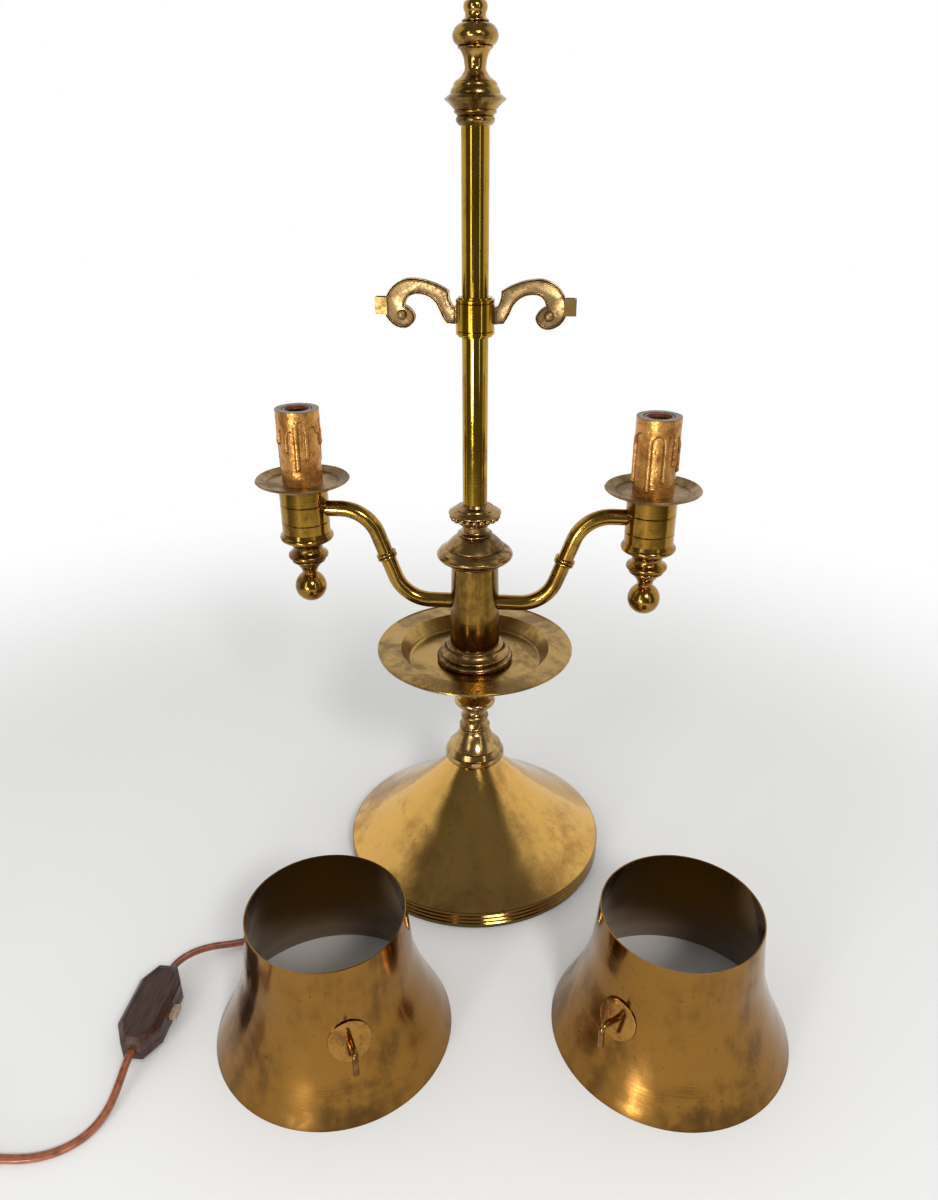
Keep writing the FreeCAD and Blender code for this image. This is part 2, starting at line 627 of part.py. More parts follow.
contact = turned(
    (0, contact_z), (3.6, contact_z), (3.6, contact_z + 0.6), (1.8, contact_z + 2.0, 3.0, contact_z + 1.6),
    (0, contact_z + 2.2))
nipple = placed(tube(thread_r, thread_bore_r, cup_z - nipple_foot, nipple_top), x=cup_x)
window_w = 2 * wire_r + 1.0
nipple = nipple.cut(block((cup_x - thread_r / 2, 0, cup_arm_z),
                          (thread_r + 0.6, window_w, 2 * window_w)))
dish_nut = hex_nut(nut_across - 1, nipple_bore, sleeve_z, nut_h - 0.5, x=cup_x)
wire_bend_r = 3.4
wire_turn = Vector(cup_x - wire_bend_r, 0, cup_arm_z)
half = wire_bend_r * math.sqrt(0.5)
wire_line = arm_line(joint_r + press_gap, cup_x - wire_bend_r) + [
    Part.Arc(wire_turn, wire_turn + Vector(half, 0, wire_bend_r - half),
             wire_turn + Vector(wire_bend_r, 0, wire_bend_r)).toShape(),
    Part.LineSegment(wire_turn + Vector(wire_bend_r, 0, wire_bend_r),
                     Vector(cup_x, 0, contact_z - 0.2)).toShape(),
]
wire = swept(wire_line, wire_r)
for name, shape in (("arm", arm), ("cup", cup), ("candle_sleeve", placed(sleeve, x=cup_x))):
    parts[name + "_right"] = shape
    parts[name + "_left"] = placed(shape, turn=180)
for name, shape in (
        ("arm_beads", arm_bead), ("cup_drops", placed(drop, x=cup_x)),
        ("bobeches", placed(bobeche, x=cup_x)), ("lampholders", placed(holder, x=cup_x)),
        ("lampholder_threads", placed(holder_shell, x=cup_x)),
        ("lampholder_contacts", placed(contact, x=cup_x)),
        ("cup_nipples", nipple), ("bobeche_nuts", dish_nut), ("arm_wires", wire)):
    parts[name] = Part.Compound([shape, placed(shape, turn=180)])

# Feed cores from the bush through the weight's slot and up the tie rod to a connector
joint_low = arm_z - joint_h / 2
parts["wire_connector"] = rod(joint_r, joint_low, joint_low + joint_h)
core_bend = 5.5
core_z = felt_t + core_r + 1.6
cores = []
for k in (-1, 1):
    beside = k * (core_r + press_gap)
    route = [(bush_start, beside, cord_exit_z), (bush_start - 16, beside, cord_exit_z),
             (bush_start - 34, beside, core_z), (0, beside, core_z), (0, beside, joint_low)]
    edges, radii = rounded_route(route, core_bend)
    cores.append(placed(swept(edges, core_r), turn=cord_exit_deg))
parts["feed_cores"] = Part.Compound(cores)

# Shade carrier: sprung liner grips the stem, collar turns on it, two scrolls with sockets
liner_r = stem_r + slide_gap + liner_wall
collar_mid_z = ring_top + collar_up_stem
collar_low = collar_mid_z - collar_h / 2
collar_high = collar_mid_z + collar_h / 2
liner = turned(
    (stem_r + slide_gap, collar_low - liner_lip), (liner_r + 1.2, collar_low - liner_lip),
    (liner_r + 1.2, collar_low - slide_gap), (liner_r, collar_low - slide_gap),
    (liner_r, collar_high + slide_gap), (liner_r + 1.2, collar_high + slide_gap),
    (liner_r + 1.2, collar_high + liner_lip), (stem_r + slide_gap, collar_high + liner_lip))
parts["collar_liner"] = liner
collar_bore = liner_r + slide_gap
parts["collar"] = turned(
    (collar_bore, collar_low), (collar_r - 0.5, collar_low), (collar_r, collar_low + 0.5),
    (collar_r, collar_low + 2.0), (collar_r - 0.4, collar_low + 2.4), (collar_r, collar_low + 2.8),
    (collar_r, collar_high - 2.8), (collar_r - 0.4, collar_high - 2.4), (collar_r, collar_high - 2.0),
    (collar_r, collar_high - 0.5), (collar_r - 0.5, collar_high), (collar_bore, collar_high))

# Scroll outline, out from the collar's side and up from its middle: foot, crown, volute, arch
foot_low, foot_high, foot_step, heel = (-3.0, -4.45), (-3.0, 6.15), (1.5, 6.15), (3.9, 15.15)
crown, outer, volute_low, volute_in = (25.1, 22.45), (44.5, 6.55), (33.4, -7.25), (25.1, -0.15)
cusp, arch_top, arch_leg, toe = (31.4, 6.55), (24.3, 13.15), (10.6, 4.95), (5.7, -3.95)
scroll_steps = (
    (foot_high, None), (foot_step, None), (heel, (3.5, 10.45)), (crown, (14.2, 20.25)),
    (outer, (38.5, 18.05)), (volute_low, (41.5, -3.15)), (volute_in, (27.3, -4.95)),
    (cusp, (27.2, 3.75)), (arch_top, (29.4, 10.95)), (arch_leg, (16.2, 11.25)),
    (toe, (8.6, 0.45)), (foot_low, None))


def at_xz(point):
    return Vector(collar_r + point[0], -scroll_t / 2, collar_mid_z + point[1])


scroll_edges = []
here = foot_low
for there, middle in scroll_steps:
    if middle:
        scroll_edges.append(Part.Arc(at_xz(here), at_xz(middle), at_xz(there)).toShape())
    else:
        scroll_edges.append(Part.LineSegment(at_xz(here), at_xz(there)).toShape())
    here = there
scroll = Part.Face(Part.Wire(scroll_edges)).extrude(Vector(0, scroll_t, 0))
boss = Part.makeCylinder(boss_r, scroll_t + 2 * boss_t, at_xz(boss_at) - Vector(0, boss_t, 0),
                         Vector(0, 1, 0))
socket_x = collar_r + socket_reach
socket_mid_z = collar_mid_z + socket_rise
socket_box = block((socket_x, 0, socket_mid_z), (socket_w, socket_w, socket_h))
socket_hole = block((socket_x, 0, socket_mid_z),
                    (socket_w - 2 * socket_wall, socket_w - 2 * socket_wall, socket_h + 2))
scroll = scroll.fuse(boss).cut(rod(collar_r, collar_low, collar_high)).cut(socket_box)
socket = socket_box.cut(socket_hole)
parts["scrolls"] = Part.Compound([scroll, placed(scroll, turn=180)])
parts["hook_sockets"] = Part.Compound([socket, placed(socket, turn=180)])

# Shades: thin spun bell, standing wide side down; plate and hook on the flare
shade_waist = (shade_waist_r, shade_waist_h)
shade_lip = (shade_lip_r, shade_lip_h)
lip_mid = (71.3, 5.5)
flare_mid = (60.0, 30.5)
neck_mid = (50.2, 73.0)


def shade_outline(inset):
    return (
        (shade_r - inset, 0),
        (shade_lip[0] - inset * 0.9, shade_lip[1] - inset * 0.5, lip_mid[0] - inset, lip_mid[1]),
        (shade_waist[0] - inset, shade_waist[1], flare_mid[0] - inset, flare_mid[1] - inset * 0.4),
        (shade_top_r - inset, shade_h, neck_mid[0] - inset, neck_mid[1]))


outside, inside = shade_outline(0), shade_outline(shade_t)
back_down = [
    (shade_waist[0] - shade_t, shade_waist[1], neck_mid[0] - shade_t, neck_mid[1]),
    (inside[1][0], inside[1][1], inside[2][2], inside[2][3]),
    (inside[0][0], 0, inside[1][2], inside[1][3])]
shade = turned(outside[0], *outside[1:], (shade_top_r - shade_t, shade_h), *back_down)

# The hook leaves the flare square to it, then its leg points straight down
flare_r = 54.4
flare_tilt = 21.0
tilt = math.radians(flare_tilt)
square_out = Vector(math.cos(tilt), 0, math.sin(tilt))
plate_at = Vector(flare_r, 0, hook_h)
plate = Part.makeCylinder(plate_r, 12, plate_at - square_out * 8, square_out)
outer_only = turned((0, 0), *outside, (0, shade_h))
plate_only = turned((0, 0), *shade_outline(-plate_t), (0, shade_h))
plate = plate.common(plate_only).cut(outer_only)
rod_root = plate_at - square_out * 0.2
knee = plate_at + Vector(hook_reach, 0, hook_reach * math.tan(tilt))
turn_half = math.radians(90 + flare_tilt) / 2
knee_cut = hook_bend_r * math.tan(turn_half)
down = Vector(0, 0, -1)
knee_in = ((square_out * -1) + down).normalize()
hook_line = [
    Part.LineSegment(rod_root, knee - square_out * knee_cut).toShape(),
    Part.Arc(knee - square_out * knee_cut, knee + knee_in * (hook_bend_r / math.cos(turn_half) - hook_bend_r),
             knee + down * knee_cut).toShape(),
    Part.LineSegment(knee + down * knee_cut, knee + down * hook_leg).toShape(),
]
hook = swept(hook_line, hook_r).cut(outer_only)
plate = plate.cut(hook)
for side, at, turn in (("left", left_shade_at, left_hook_deg), ("right", right_shade_at, right_hook_deg)):
    parts["shade_" + side] = placed(shade, at[0], at[1], 0, turn)
    parts["hook_plate_" + side] = placed(plate, at[0], at[1], 0, turn)
    parts["hook_" + side] = placed(hook, at[0], at[1], 0, turn)

# In-line switch: two half shells, push bar through the sides, two screws, rocker contact inside
switch_mid_z = switch_h / 2
half_len, half_w, end_w = switch_len / 2, switch_w / 2, switch_end_w / 2
side_x = half_len - switch_taper


def switch_block(inset, low, high):
    corners = [(-half_len, -end_w), (-side_x, -half_w), (side_x, -half_w), (half_len, -end_w),
               (half_len, end_w), (side_x, half_w), (-side_x, half_w), (-half_len, end_w)]
    ring = []
    for x, y in corners + corners[:1]:
        ring.append(Vector(x - math.copysign(inset, x), y - math.copysign(inset * 0.9, y), low))
    return Part.Face(Part.makePolygon(ring)).extrude(Vector(0, 0, high - low))


switch_body = switch_block(0, 0, switch_h)
edge_list = [e for e in switch_body.Edges if abs(e.Vertexes[0].Z - e.Vertexes[-1].Z) < 1e-6]
switch_body = switch_body.makeChamfer(switch_chamfer, edge_list)
cavity = switch_block(switch_wall, switch_wall, switch_h - switch_wall)
bar_cut = block((0, 0, switch_mid_z),
                (switch_bar_w + 2 * loose_gap, 2 * switch_w, switch_bar_t + 2 * loose_gap))
cord_way = Part.makeCylinder(cord_r + slide_gap, 2 * switch_len, Vector(-switch_len, 0, switch_mid_z),
                             Vector(1, 0, 0))
clamps = block((half_len - clamp_in, 0, switch_mid_z), (clamp_t, clamp_w, switch_h)).fuse(
    block((clamp_in - half_len, 0, switch_mid_z), (clamp_t, clamp_w, switch_h)))
screw_at = ((screw_x, screw_y), (-screw_x, -screw_y))
posts = [rod(post_r, 0, switch_h, x, y) for x, y in screw_at]
body = switch_body.cut(cavity).fuse(switch_body.common(clamps.fuse(posts[0]).fuse(posts[1])))
screws, screw_room = [], []
head_low, head_high = 1.0, 2.6
for x, y in screw_at:
    screw = rod(screw_r, head_low, switch_h - 2.0, x, y).fuse(rod(screw_head_r, head_low, head_high, x, y))
    head_slot = block((x, y, head_low), (1.0, 2 * screw_head_r + 1, 1.2))
    screws.append(screw.cut(head_slot))
    screw_room.append(rod(screw_r + press_gap, 0, switch_h - 1.9, x, y).fuse(
        rod(screw_head_r + press_gap, -1, head_high + slide_gap, x, y)))
body = body.cut(bar_cut).cut(cord_way).cut(screw_room[0]).cut(screw_room[1])
half_size = (2 * switch_len, 2 * switch_w, switch_mid_z)
lower = body.common(block((0, 0, switch_mid_z / 2), half_size))
upper = body.common(block((0, 0, switch_mid_z * 1.5), half_size))
bar_len = switch_w + switch_bar_out + switch_bar_back
bar_shift = (switch_bar_back - switch_bar_out) / 2
bar = block((0, bar_shift, switch_mid_z), (switch_bar_w, bar_len, switch_bar_t))
contact_strip = block((0, 0, switch_wall + 0.5), (18.0, 8.0, 1.0)).fuse(
    block((0, 0, switch_wall + 2.2), (1.2, 6.0, 3.4)))
switch_parts = {
    "switch_lower": lower, "switch_upper": upper, "switch_bar": bar, "switch_contacts": contact_strip,
    "switch_screws": Part.Compound(screws)}
for name, shape in switch_parts.items():
    parts[name] = placed(shape, switch_at[0], switch_at[1], 0, switch_deg)


# Cord: base to switch, switch to coil, coil, coil to plug
plug_z = plug_h / 2
exit_mouth = exit_height + exit_out * bush_start
switch_axis = Vector(math.cos(math.radians(switch_deg)), math.sin(math.radians(switch_deg)), 0)
switch_centre = Vector(switch_at[0], switch_at[1], switch_mid_z)
run_in = 11.5
far_mouth = switch_centre + switch_axis * half_len
near_mouth = switch_centre - switch_axis * half_len
to_switch = [exit_mouth, exit_mouth + exit_out * (base_r - bush_start + 15.5), *free_to_switch,
             far_mouth + switch_axis * (run_in - cord_in), far_mouth - switch_axis * cord_in]
parts["cord_base_run"] = cord_run("base to switch", to_switch, cord_r)

lead = 2 * cord_r
coil_outer_r = coil_inner_r + coil_turns_in * coil_pitch
coil_last_r = coil_inner_r + coil_turns_out * coil_pitch
coil_centre = Vector(coil_at[0], coil_at[1], 0)
coil_start = coil_centre + Vector(lead, coil_outer_r, coil_z)
to_coil = [near_mouth + switch_axis * cord_in, near_mouth - switch_axis * (run_in - cord_in + 1.5),
           *free_to_coil, coil_start + Vector(14.5, 0, 0), coil_start]
parts["cord_coil_run"] = cord_run("switch to coil", to_coil, cord_r)
coil_end = coil_centre + Vector(-lead, coil_last_r, coil_z + coil_pitch)
plug_in = Vector(plug_mouth[0], plug_mouth[1], plug_z)
to_plug = [coil_end, coil_end + Vector(-13.5, 0, 0), *free_to_plug,
           plug_in + Vector(7.0, 0, 0), plug_in - Vector(cord_in, 0, 0)]
parts["cord_plug_run"] = cord_run("coil to plug", to_plug, cord_r)


def coil_point(turn):
    """Spiral in on the lower layer, half a turn up, spiral out on the upper layer."""
    climb = min(max(turn - coil_turns_in, 0), 0.5) * 2
    inward = max(coil_turns_in - turn, 0)
    outward = max(turn - coil_turns_in - 0.5, 0)
    radius = coil_inner_r + coil_pitch * (inward + outward)
    rise = coil_pitch * climb * climb * (3 - 2 * climb)
    angle = math.pi / 2 + 2 * math.pi * turn
    return coil_centre + Vector(radius * math.cos(angle), radius * math.sin(angle), coil_z + rise)


def coil_direction(turn):
    step = 1e-4
    return (coil_point(turn + step) - coil_point(turn - step)).normalize()


def biarc(start, start_way, end, end_way):
    """Two tangent arcs between two points, each leaving or arriving along its direction."""
    span = end - start
    both = start_way + end_way
    a = 2 * (1 - start_way.dot(end_way))
    b = 2 * span.dot(both)
    reach = (math.sqrt(b * b + 4 * a * span.dot(span)) - b) / (2 * a)
    middle = (start + end + (start_way - end_way) * reach) * 0.5
    arcs = []
    for point, way, other in ((start, start_way, middle), (end, end_way * -1, middle)):
        chord = other - point
        across = chord - way * chord.dot(way)
        radius = chord.dot(chord) / (2 * across.Length)
        centre = point + across.normalize() * radius
        halfway = (point + other) * 0.5 - centre
        arcs.append((point, centre + halfway.normalize() * radius, other))
    first, second = arcs
    return [Part.Arc(*first).toShape(), Part.Arc(second[2], second[1], second[0]).toShape()]


coil_turns = coil_turns_in + 0.5 + coil_turns_out
quarters = int(round(coil_turns * 4))
knots = [coil_turns * k / quarters for k in range(quarters + 1)]
flat_start, flat_end = Vector(-1, 0, 0), Vector(-1, 0, 0)
coil_edges = [Part.LineSegment(coil_start, coil_point(0)).toShape()]
for low, high in zip(knots, knots[1:]):
    way_in = flat_start if low == 0 else coil_direction(low)
    way_out = flat_end if high == knots[-1] else coil_direction(high)
    coil_edges += biarc(coil_point(low), way_in, coil_point(high), way_out)
coil_edges.append(Part.LineSegment(coil_point(coil_turns), coil_end).toShape())
parts["cord_coil"] = swept(coil_edges, cord_r)
trace = []
for edge in coil_edges:
    trace += edge.discretize(24)[:-1]
gap, along = 1e9, [0.0]
for a, b in zip(trace, trace[1:]):
    along.append(along[-1] + (b - a).Length)
for i in range(len(trace)):
    for j in range(i + 1, len(trace)):
        if along[j] - along[i] > 4 * math.pi * cord_r:
            gap = min(gap, (trace[i] - trace[j]).Length)
print("coil length", round(along[-1], 1), "least gap to itself", round(gap - 2 * cord_r, 2),
      "volume ratio", round(parts["cord_coil"].Volume / (math.pi * cord_r ** 2 * along[-1]), 4))

# Plug: flat moulded body, two round pins
plug_taper = 14.0
outline_xy = [(0, plug_end_w / 2 - 12.5), (plug_len - plug_taper, plug_w / 2 + 3.0),
              (plug_len - 6.0, plug_end_w / 2), (plug_len, plug_end_w / 2)]
corners = [(x, y) for x, y in outline_xy] + [(x, -y) for x, y in reversed(outline_xy)]
ring = [Vector(plug_mouth[0] - x, plug_mouth[1] + y, 0) for x, y in corners + corners[:1]]
plug_body = Part.Face(Part.makePolygon(ring)).extrude(Vector(0, 0, plug_h))
plug_edges = [e for e in plug_body.Edges if abs(e.Vertexes[0].Z - e.Vertexes[-1].Z) < 1e-6]
plug_body = plug_body.makeChamfer(2.0, plug_edges)
pins = []
outward = Vector(-1, 0, 0)
for side in (-1, 1):
    face = plug_in + Vector(-plug_len, side * pin_spacing / 2, 0)
    stud = Part.makeCylinder(pin_root_r, pin_root_len + pin_relief, face - outward * pin_root_len, outward)
    pins.append(stud.fuse(
        Part.makeCylinder(pin_r, pin_len - pin_relief, face + outward * pin_relief, outward)))
cord_bore = Part.makeCylinder(cord_r + slide_gap, cord_in + press_gap, plug_in + Vector(press_gap, 0, 0),
                              Vector(-1, 0, 0))
parts["plug_body"] = plug_body.cut(pins[0]).cut(pins[1]).cut(cord_bore)
parts["plug_pins"] = Part.Compound(pins)

os.makedirs("parts", exist_ok=True)
for name, shape in parts.items():
    solids = shape.Solids
    if not solids or not shape.isValid():
        print("check", name, len(solids), shape.isValid())
    shape = solids[0] if len(solids) == 1 else Part.Compound(solids)
    shape.exportStep("parts/" + name + ".step")
print(len(parts), "nodes,", sum(len(shape.Solids) for shape in parts.values()), "solids")
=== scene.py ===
import bpy
import math
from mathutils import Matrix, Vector, noise


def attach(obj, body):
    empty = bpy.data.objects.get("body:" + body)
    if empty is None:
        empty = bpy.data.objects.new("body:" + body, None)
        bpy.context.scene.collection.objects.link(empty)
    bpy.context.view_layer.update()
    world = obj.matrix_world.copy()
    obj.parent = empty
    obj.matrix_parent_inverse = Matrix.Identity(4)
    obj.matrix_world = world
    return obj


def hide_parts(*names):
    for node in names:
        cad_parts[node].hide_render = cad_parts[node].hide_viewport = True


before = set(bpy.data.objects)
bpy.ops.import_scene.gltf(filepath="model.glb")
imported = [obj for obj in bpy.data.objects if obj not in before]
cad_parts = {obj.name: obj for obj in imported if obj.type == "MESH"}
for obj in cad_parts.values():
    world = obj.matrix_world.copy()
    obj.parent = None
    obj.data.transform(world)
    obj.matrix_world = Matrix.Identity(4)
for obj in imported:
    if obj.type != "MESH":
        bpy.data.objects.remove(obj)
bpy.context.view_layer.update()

# Camera. The eye stands just below the finial's height, a little right of the stem, and looks
# down over the two shades onto the foot of the lamp. Its focal length is in the picture's pixels.
eye = bpy.data.cameras.new("eye")
eye.sensor_width = 36.0
focal_pixels, frame_pixels = 914.854, 1200.0
eye.lens = focal_pixels / frame_pixels * eye.sensor_width
eye.clip_start = 0.01
camera = bpy.data.objects.new("camera", eye)
camera.location = (0.05179, -0.58486, 0.49381)
camera.rotation_euler = [math.radians(a) for a in (64.5398, 0.0973, 5.4191)]
bpy.context.scene.collection.objects.link(camera)
bpy.context.scene.camera = camera

# Studio. A plain pale floor in a white room that is darker overhead and behind the camera, so that
# polished brass has something to show; two tall narrow panels in front, a small strong one high up and
# a low one. What isn't shiny is lit by plain soft light from all round.
bpy.context.scene.view_settings.view_transform = "Standard"


def add_node(finish, kind, settings=None, **inputs):
    """Put a node into a finish, set its options and fill or link its inputs by name or number."""
    tree = finish.node_tree
    node = tree.nodes.new("ShaderNode" + kind)
    for option, value in (settings or {}).items():
        setattr(node, option, value)
    for socket, value in inputs.items():
        key = int(socket[1:]) if socket[0] == "_" and socket[1:].isdigit() else socket.replace("_", " ")
        target = node.inputs[key]
        if isinstance(value, bpy.types.NodeSocket):
            tree.links.new(value, target)
        else:
            target.default_value = value
    return node


def mapped(finish, value, low, high, to_low=0.0, to_high=1.0):
    """Spread a value from one span to another, held at the ends."""
    return add_node(finish, "MapRange", {"interpolation_type": "SMOOTHSTEP"}, Value=value, From_Min=low,
                    From_Max=high, To_Min=to_low, To_Max=to_high).outputs[0]


def blended(finish, share, first, second):
    """Mix two colours by a share."""
    return add_node(finish, "MixRGB", _0=share, _1=first, _2=second).outputs[0]


dark_front, pale_sides, white_back = (0.13, 0.125, 0.12, 1), (0.88, 0.88, 0.87, 1), (1, 1, 1, 1)
dark_overhead, plain_grey = (0.17, 0.17, 0.175, 1), (0.70, 0.70, 0.70, 1)
room = bpy.data.worlds.new("room")
room.use_nodes = True
bpy.context.scene.world = room
room.node_tree.nodes.clear()
direction = add_node(room, "TexCoord").outputs["Generated"]
split = add_node(room, "SeparateXYZ", Vector=direction)
beside = mapped(room, split.outputs["Y"], -0.34, -0.08)
walls = blended(room, beside, dark_front, pale_sides)
behind = mapped(room, split.outputs["Y"], 0.05, 0.5)
walls = blended(room, behind, walls, white_back)
overhead = mapped(room, split.outputs["Z"], 0.66, 0.86)
room_colour = blended(room, overhead, walls, dark_overhead)
shown_room = add_node(room, "Background", Color=room_colour, Strength=1.0)
soft_light = add_node(room, "Background", Color=plain_grey, Strength=1.0)
dull_ray = add_node(room, "LightPath").outputs["Is Diffuse Ray"]
room_mix = add_node(room, "MixShader", _0=dull_ray, _1=shown_room.outputs[0], _2=soft_light.outputs[0])
room_end = add_node(room, "OutputWorld")
room.node_tree.links.new(room_mix.outputs[0], room_end.inputs["Surface"])

floor_radius, floor_solid_to, floor_gone_at = 3.0, 0.40, 0.95
bpy.ops.object.select_all(action="DESELECT")
bpy.ops.mesh.primitive_circle_add(vertices=96, radius=floor_radius, fill_type="NGON")
floor = bpy.context.object
floor.name = "floor"
pale = bpy.data.materials.new("pale_floor")
pale.use_nodes = True
pale.node_tree.nodes.clear()
floor_at = add_node(pale, "TexCoord").outputs["Object"]
floor_from = add_node(pale, "Mapping", Vector=floor_at, Location=(0.05, 0.15, 0)).outputs[0]
floor_reach = add_node(pale, "VectorMath", {"operation": "LENGTH"}, _0=floor_from).outputs["Value"]
floor_fade = mapped(pale, floor_reach, floor_solid_to, floor_gone_at)
matt = add_node(pale, "BsdfPrincipled", Base_Color=(0.80, 0.80, 0.79, 1), Roughness=0.9)
clear = add_node(pale, "BsdfTransparent")
floor_mix = add_node(pale, "MixShader", _0=floor_fade, _1=matt.outputs[0], _2=clear.outputs[0])
floor_end = add_node(pale, "OutputMaterial")
pale.node_tree.links.new(floor_mix.outputs[0], floor_end.inputs["Surface"])
floor.data.materials.append(pale)

for name, place, aim, width, height, glow in (
        ("tall_left", (-0.66, -1.15, 0.55), (0, 0, 0.3), 0.17, 1.1, 4.5),
        ("tall_right", (0.92, -0.98, 0.55), (0, 0, 0.3), 0.08, 1.0, 3.0),
        ("key", (0.52, -1.25, 1.15), (0, 0, 0.2), 0.26, 0.26, 48.0),
        ("low_left", (-0.42, -1.25, 0.10), (-0.07, -0.2, 0.03), 0.20, 0.12, 80.0)):
    panel = bpy.data.lights.new(name, "AREA")
    panel.shape = "RECTANGLE"
    panel.size, panel.size_y = width, height
    panel.energy = math.pi * width * height * glow
    lamp = bpy.data.objects.new(name, panel)
    lamp.location = place
    lamp.rotation_euler = (Vector(aim) - Vector(place)).to_track_quat("-Z", "Y").to_euler()
    bpy.context.scene.collection.objects.link(lamp)

# Supply cord. Flat twin flex in clear reddish-brown plastic: out of the base's rim, over the
# floor to the hand switch, on to a wound coil and from there to the plug.
out_of_base = Vector((-0.75471, -0.65606, 0))
inside_rim, past_rim = 0.0929, 0.1129
to_switch = [
    (*(out_of_base * inside_rim).xy, 0.008), (*(out_of_base * past_rim).xy, 0.0078),
    (-0.0986, -0.0842, 0.0055), (-0.1124, -0.0959, 0.0029), (-0.1260, -0.1088, 0.0018),
    (-0.1402, -0.1212, 0.0024), (-0.1554, -0.1306, 0.0048), (-0.1703, -0.1372, 0.0077),
    (-0.1818, -0.1462, 0.0092), (-0.1885, -0.1570, 0.0095), (-0.1885, -0.1685, 0.0095)]
through_switch = [(-0.1885, -0.1835, 0.0095), (-0.1885, -0.2010, 0.0095)]
to_coil = [
    (-0.1885, -0.2185, 0.0095), (-0.1885, -0.2315, 0.0093), (-0.1876, -0.2440, 0.0070),
    (-0.1883, -0.2572, 0.0035), (-0.1926, -0.2698, 0.0019), (-0.2015, -0.2802, 0.0018),
    (-0.2147, -0.2869, 0.0019), (-0.2306, -0.2895, 0.0018), (-0.2474, -0.2893, 0.0019),
    (-0.2645, -0.2869, 0.0018), (-0.2790, -0.2869, 0.0018)]
to_plug = [
    (-0.3005, -0.28947, 0.0046), (-0.3154, -0.2916, 0.0044), (-0.3286, -0.2910, 0.0056),
    (-0.3380, -0.2918, 0.0067), (-0.3490, -0.2918, 0.00685)]
coil_centre = Vector((-0.283, -0.322, 0))
coil_inner = 0.0145
turn_pitch = 0.00515
turns_in, turns_up, turns_out = 4.0, 0.5, 3.5
layer_low, layer_rise = 0.0018, 0.0031
coil_points = []
steps_per_turn = 16
for step in range(int((turns_in + turns_up + turns_out) * steps_per_turn) + 1):
    turn = step / steps_per_turn
    climb = min(max(turn - turns_in, 0), turns_up) / turns_up
    radius = coil_inner + turn_pitch * (max(turns_in - turn, 0) + max(turn - turns_in - turns_up, 0))
    angle = math.pi / 2 + 2 * math.pi * turn
    coil_points.append((coil_centre.x + radius * math.cos(angle), coil_centre.y + radius * math.sin(angle),
                        layer_low + layer_rise * climb * climb * (3 - 2 * climb)))
route = to_switch + through_switch + to_coil + coil_points + to_plug

flex_width, flex_thick = 0.0044, 0.0030
section = bpy.data.curves.new("flex_section", "CURVE")
section.dimensions = "2D"
ring = section.splines.new("NURBS")
lobe, waist, shoulder, crown = flex_width / 2, flex_thick * 0.40, flex_thick * 0.46, flex_thick * 0.56
outline = [(-lobe, 0), (-lobe, shoulder), (-lobe * 0.5, crown), (0, waist), (lobe * 0.5, crown),
           (lobe, shoulder), (lobe, 0), (lobe, -shoulder), (lobe * 0.5, -crown), (0, -waist),
           (-lobe * 0.5, -crown), (-lobe, -shoulder)]
ring.points.add(len(outline) - 1)
for point, (x, y) in zip(ring.points, outline):
    point.co = (x, y, 0, 1)
ring.order_u = 3
ring.use_cyclic_u = True
section.resolution_u = 3
section_shape = bpy.data.objects.new("flex_section", section)
bpy.context.scene.collection.objects.link(section_shape)
section_shape.hide_render = True
section_shape.hide_viewport = True

line = bpy.data.curves.new("flex", "CURVE")
line.dimensions = "3D"
line.twist_mode = "Z_UP"
line.resolution_u = 5
spline = line.splines.new("NURBS")
spline.points.add(len(route) - 1)
for point, place in zip(spline.points, route):
    point.co = (*place, 1)
spline.order_u = 3
spline.use_endpoint_u = True
flex = bpy.data.objects.new("flex", line)
bpy.context.scene.collection.objects.link(flex)
bare_line = bpy.data.meshes.new_from_object(flex)
along_flex = [v.co.copy() for v in bare_line.vertices]
line.bevel_mode = "OBJECT"
line.bevel_object = section_shape
line.use_fill_caps = True

flex_plastic = bpy.data.materials.new("flex_plastic")
flex_plastic.use_nodes = True
flex_look = flex_plastic.node_tree.nodes["Principled BSDF"]
flex_at = add_node(flex_plastic, "TexCoord").outputs["Object"]
flex_cloud = add_node(flex_plastic, "TexNoise", Vector=flex_at, Scale=220.0, Detail=3.0).outputs["Fac"]
flex_clear, flex_dark = (0.30, 0.085, 0.030, 1), (0.165, 0.040, 0.016, 1)
flex_tint = blended(flex_plastic, mapped(flex_plastic, flex_cloud, 0.35, 0.7), flex_clear, flex_dark)
flex_plastic.node_tree.links.new(flex_tint, flex_look.inputs["Base Color"])
flex_look.inputs["Roughness"].default_value = 0.28
flex_look.inputs["Coat Weight"].default_value = 0.35
flex_look.inputs["Coat Roughness"].default_value = 0.12
flex.data.materials.append(flex_plastic)
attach(flex, "lamp")
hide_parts("cord_base_run", "cord_coil_run", "cord_coil", "cord_plug_run")

# Strain relief. A ribbed rubber sleeve, moulded on the flex where it leaves the base's bush.


def alone(piece):
    """Select one piece and nothing else."""
    bpy.ops.object.select_all(action="DESELECT")
    piece.select_set(True)
    bpy.context.view_layer.objects.active = piece


def shape_in_place(piece):
    """Put a piece's place, turn and size into its mesh, so that its object sits at the origin."""
    alone(piece)
    bpy.ops.object.transform_apply(location=True, rotation=True, scale=True)


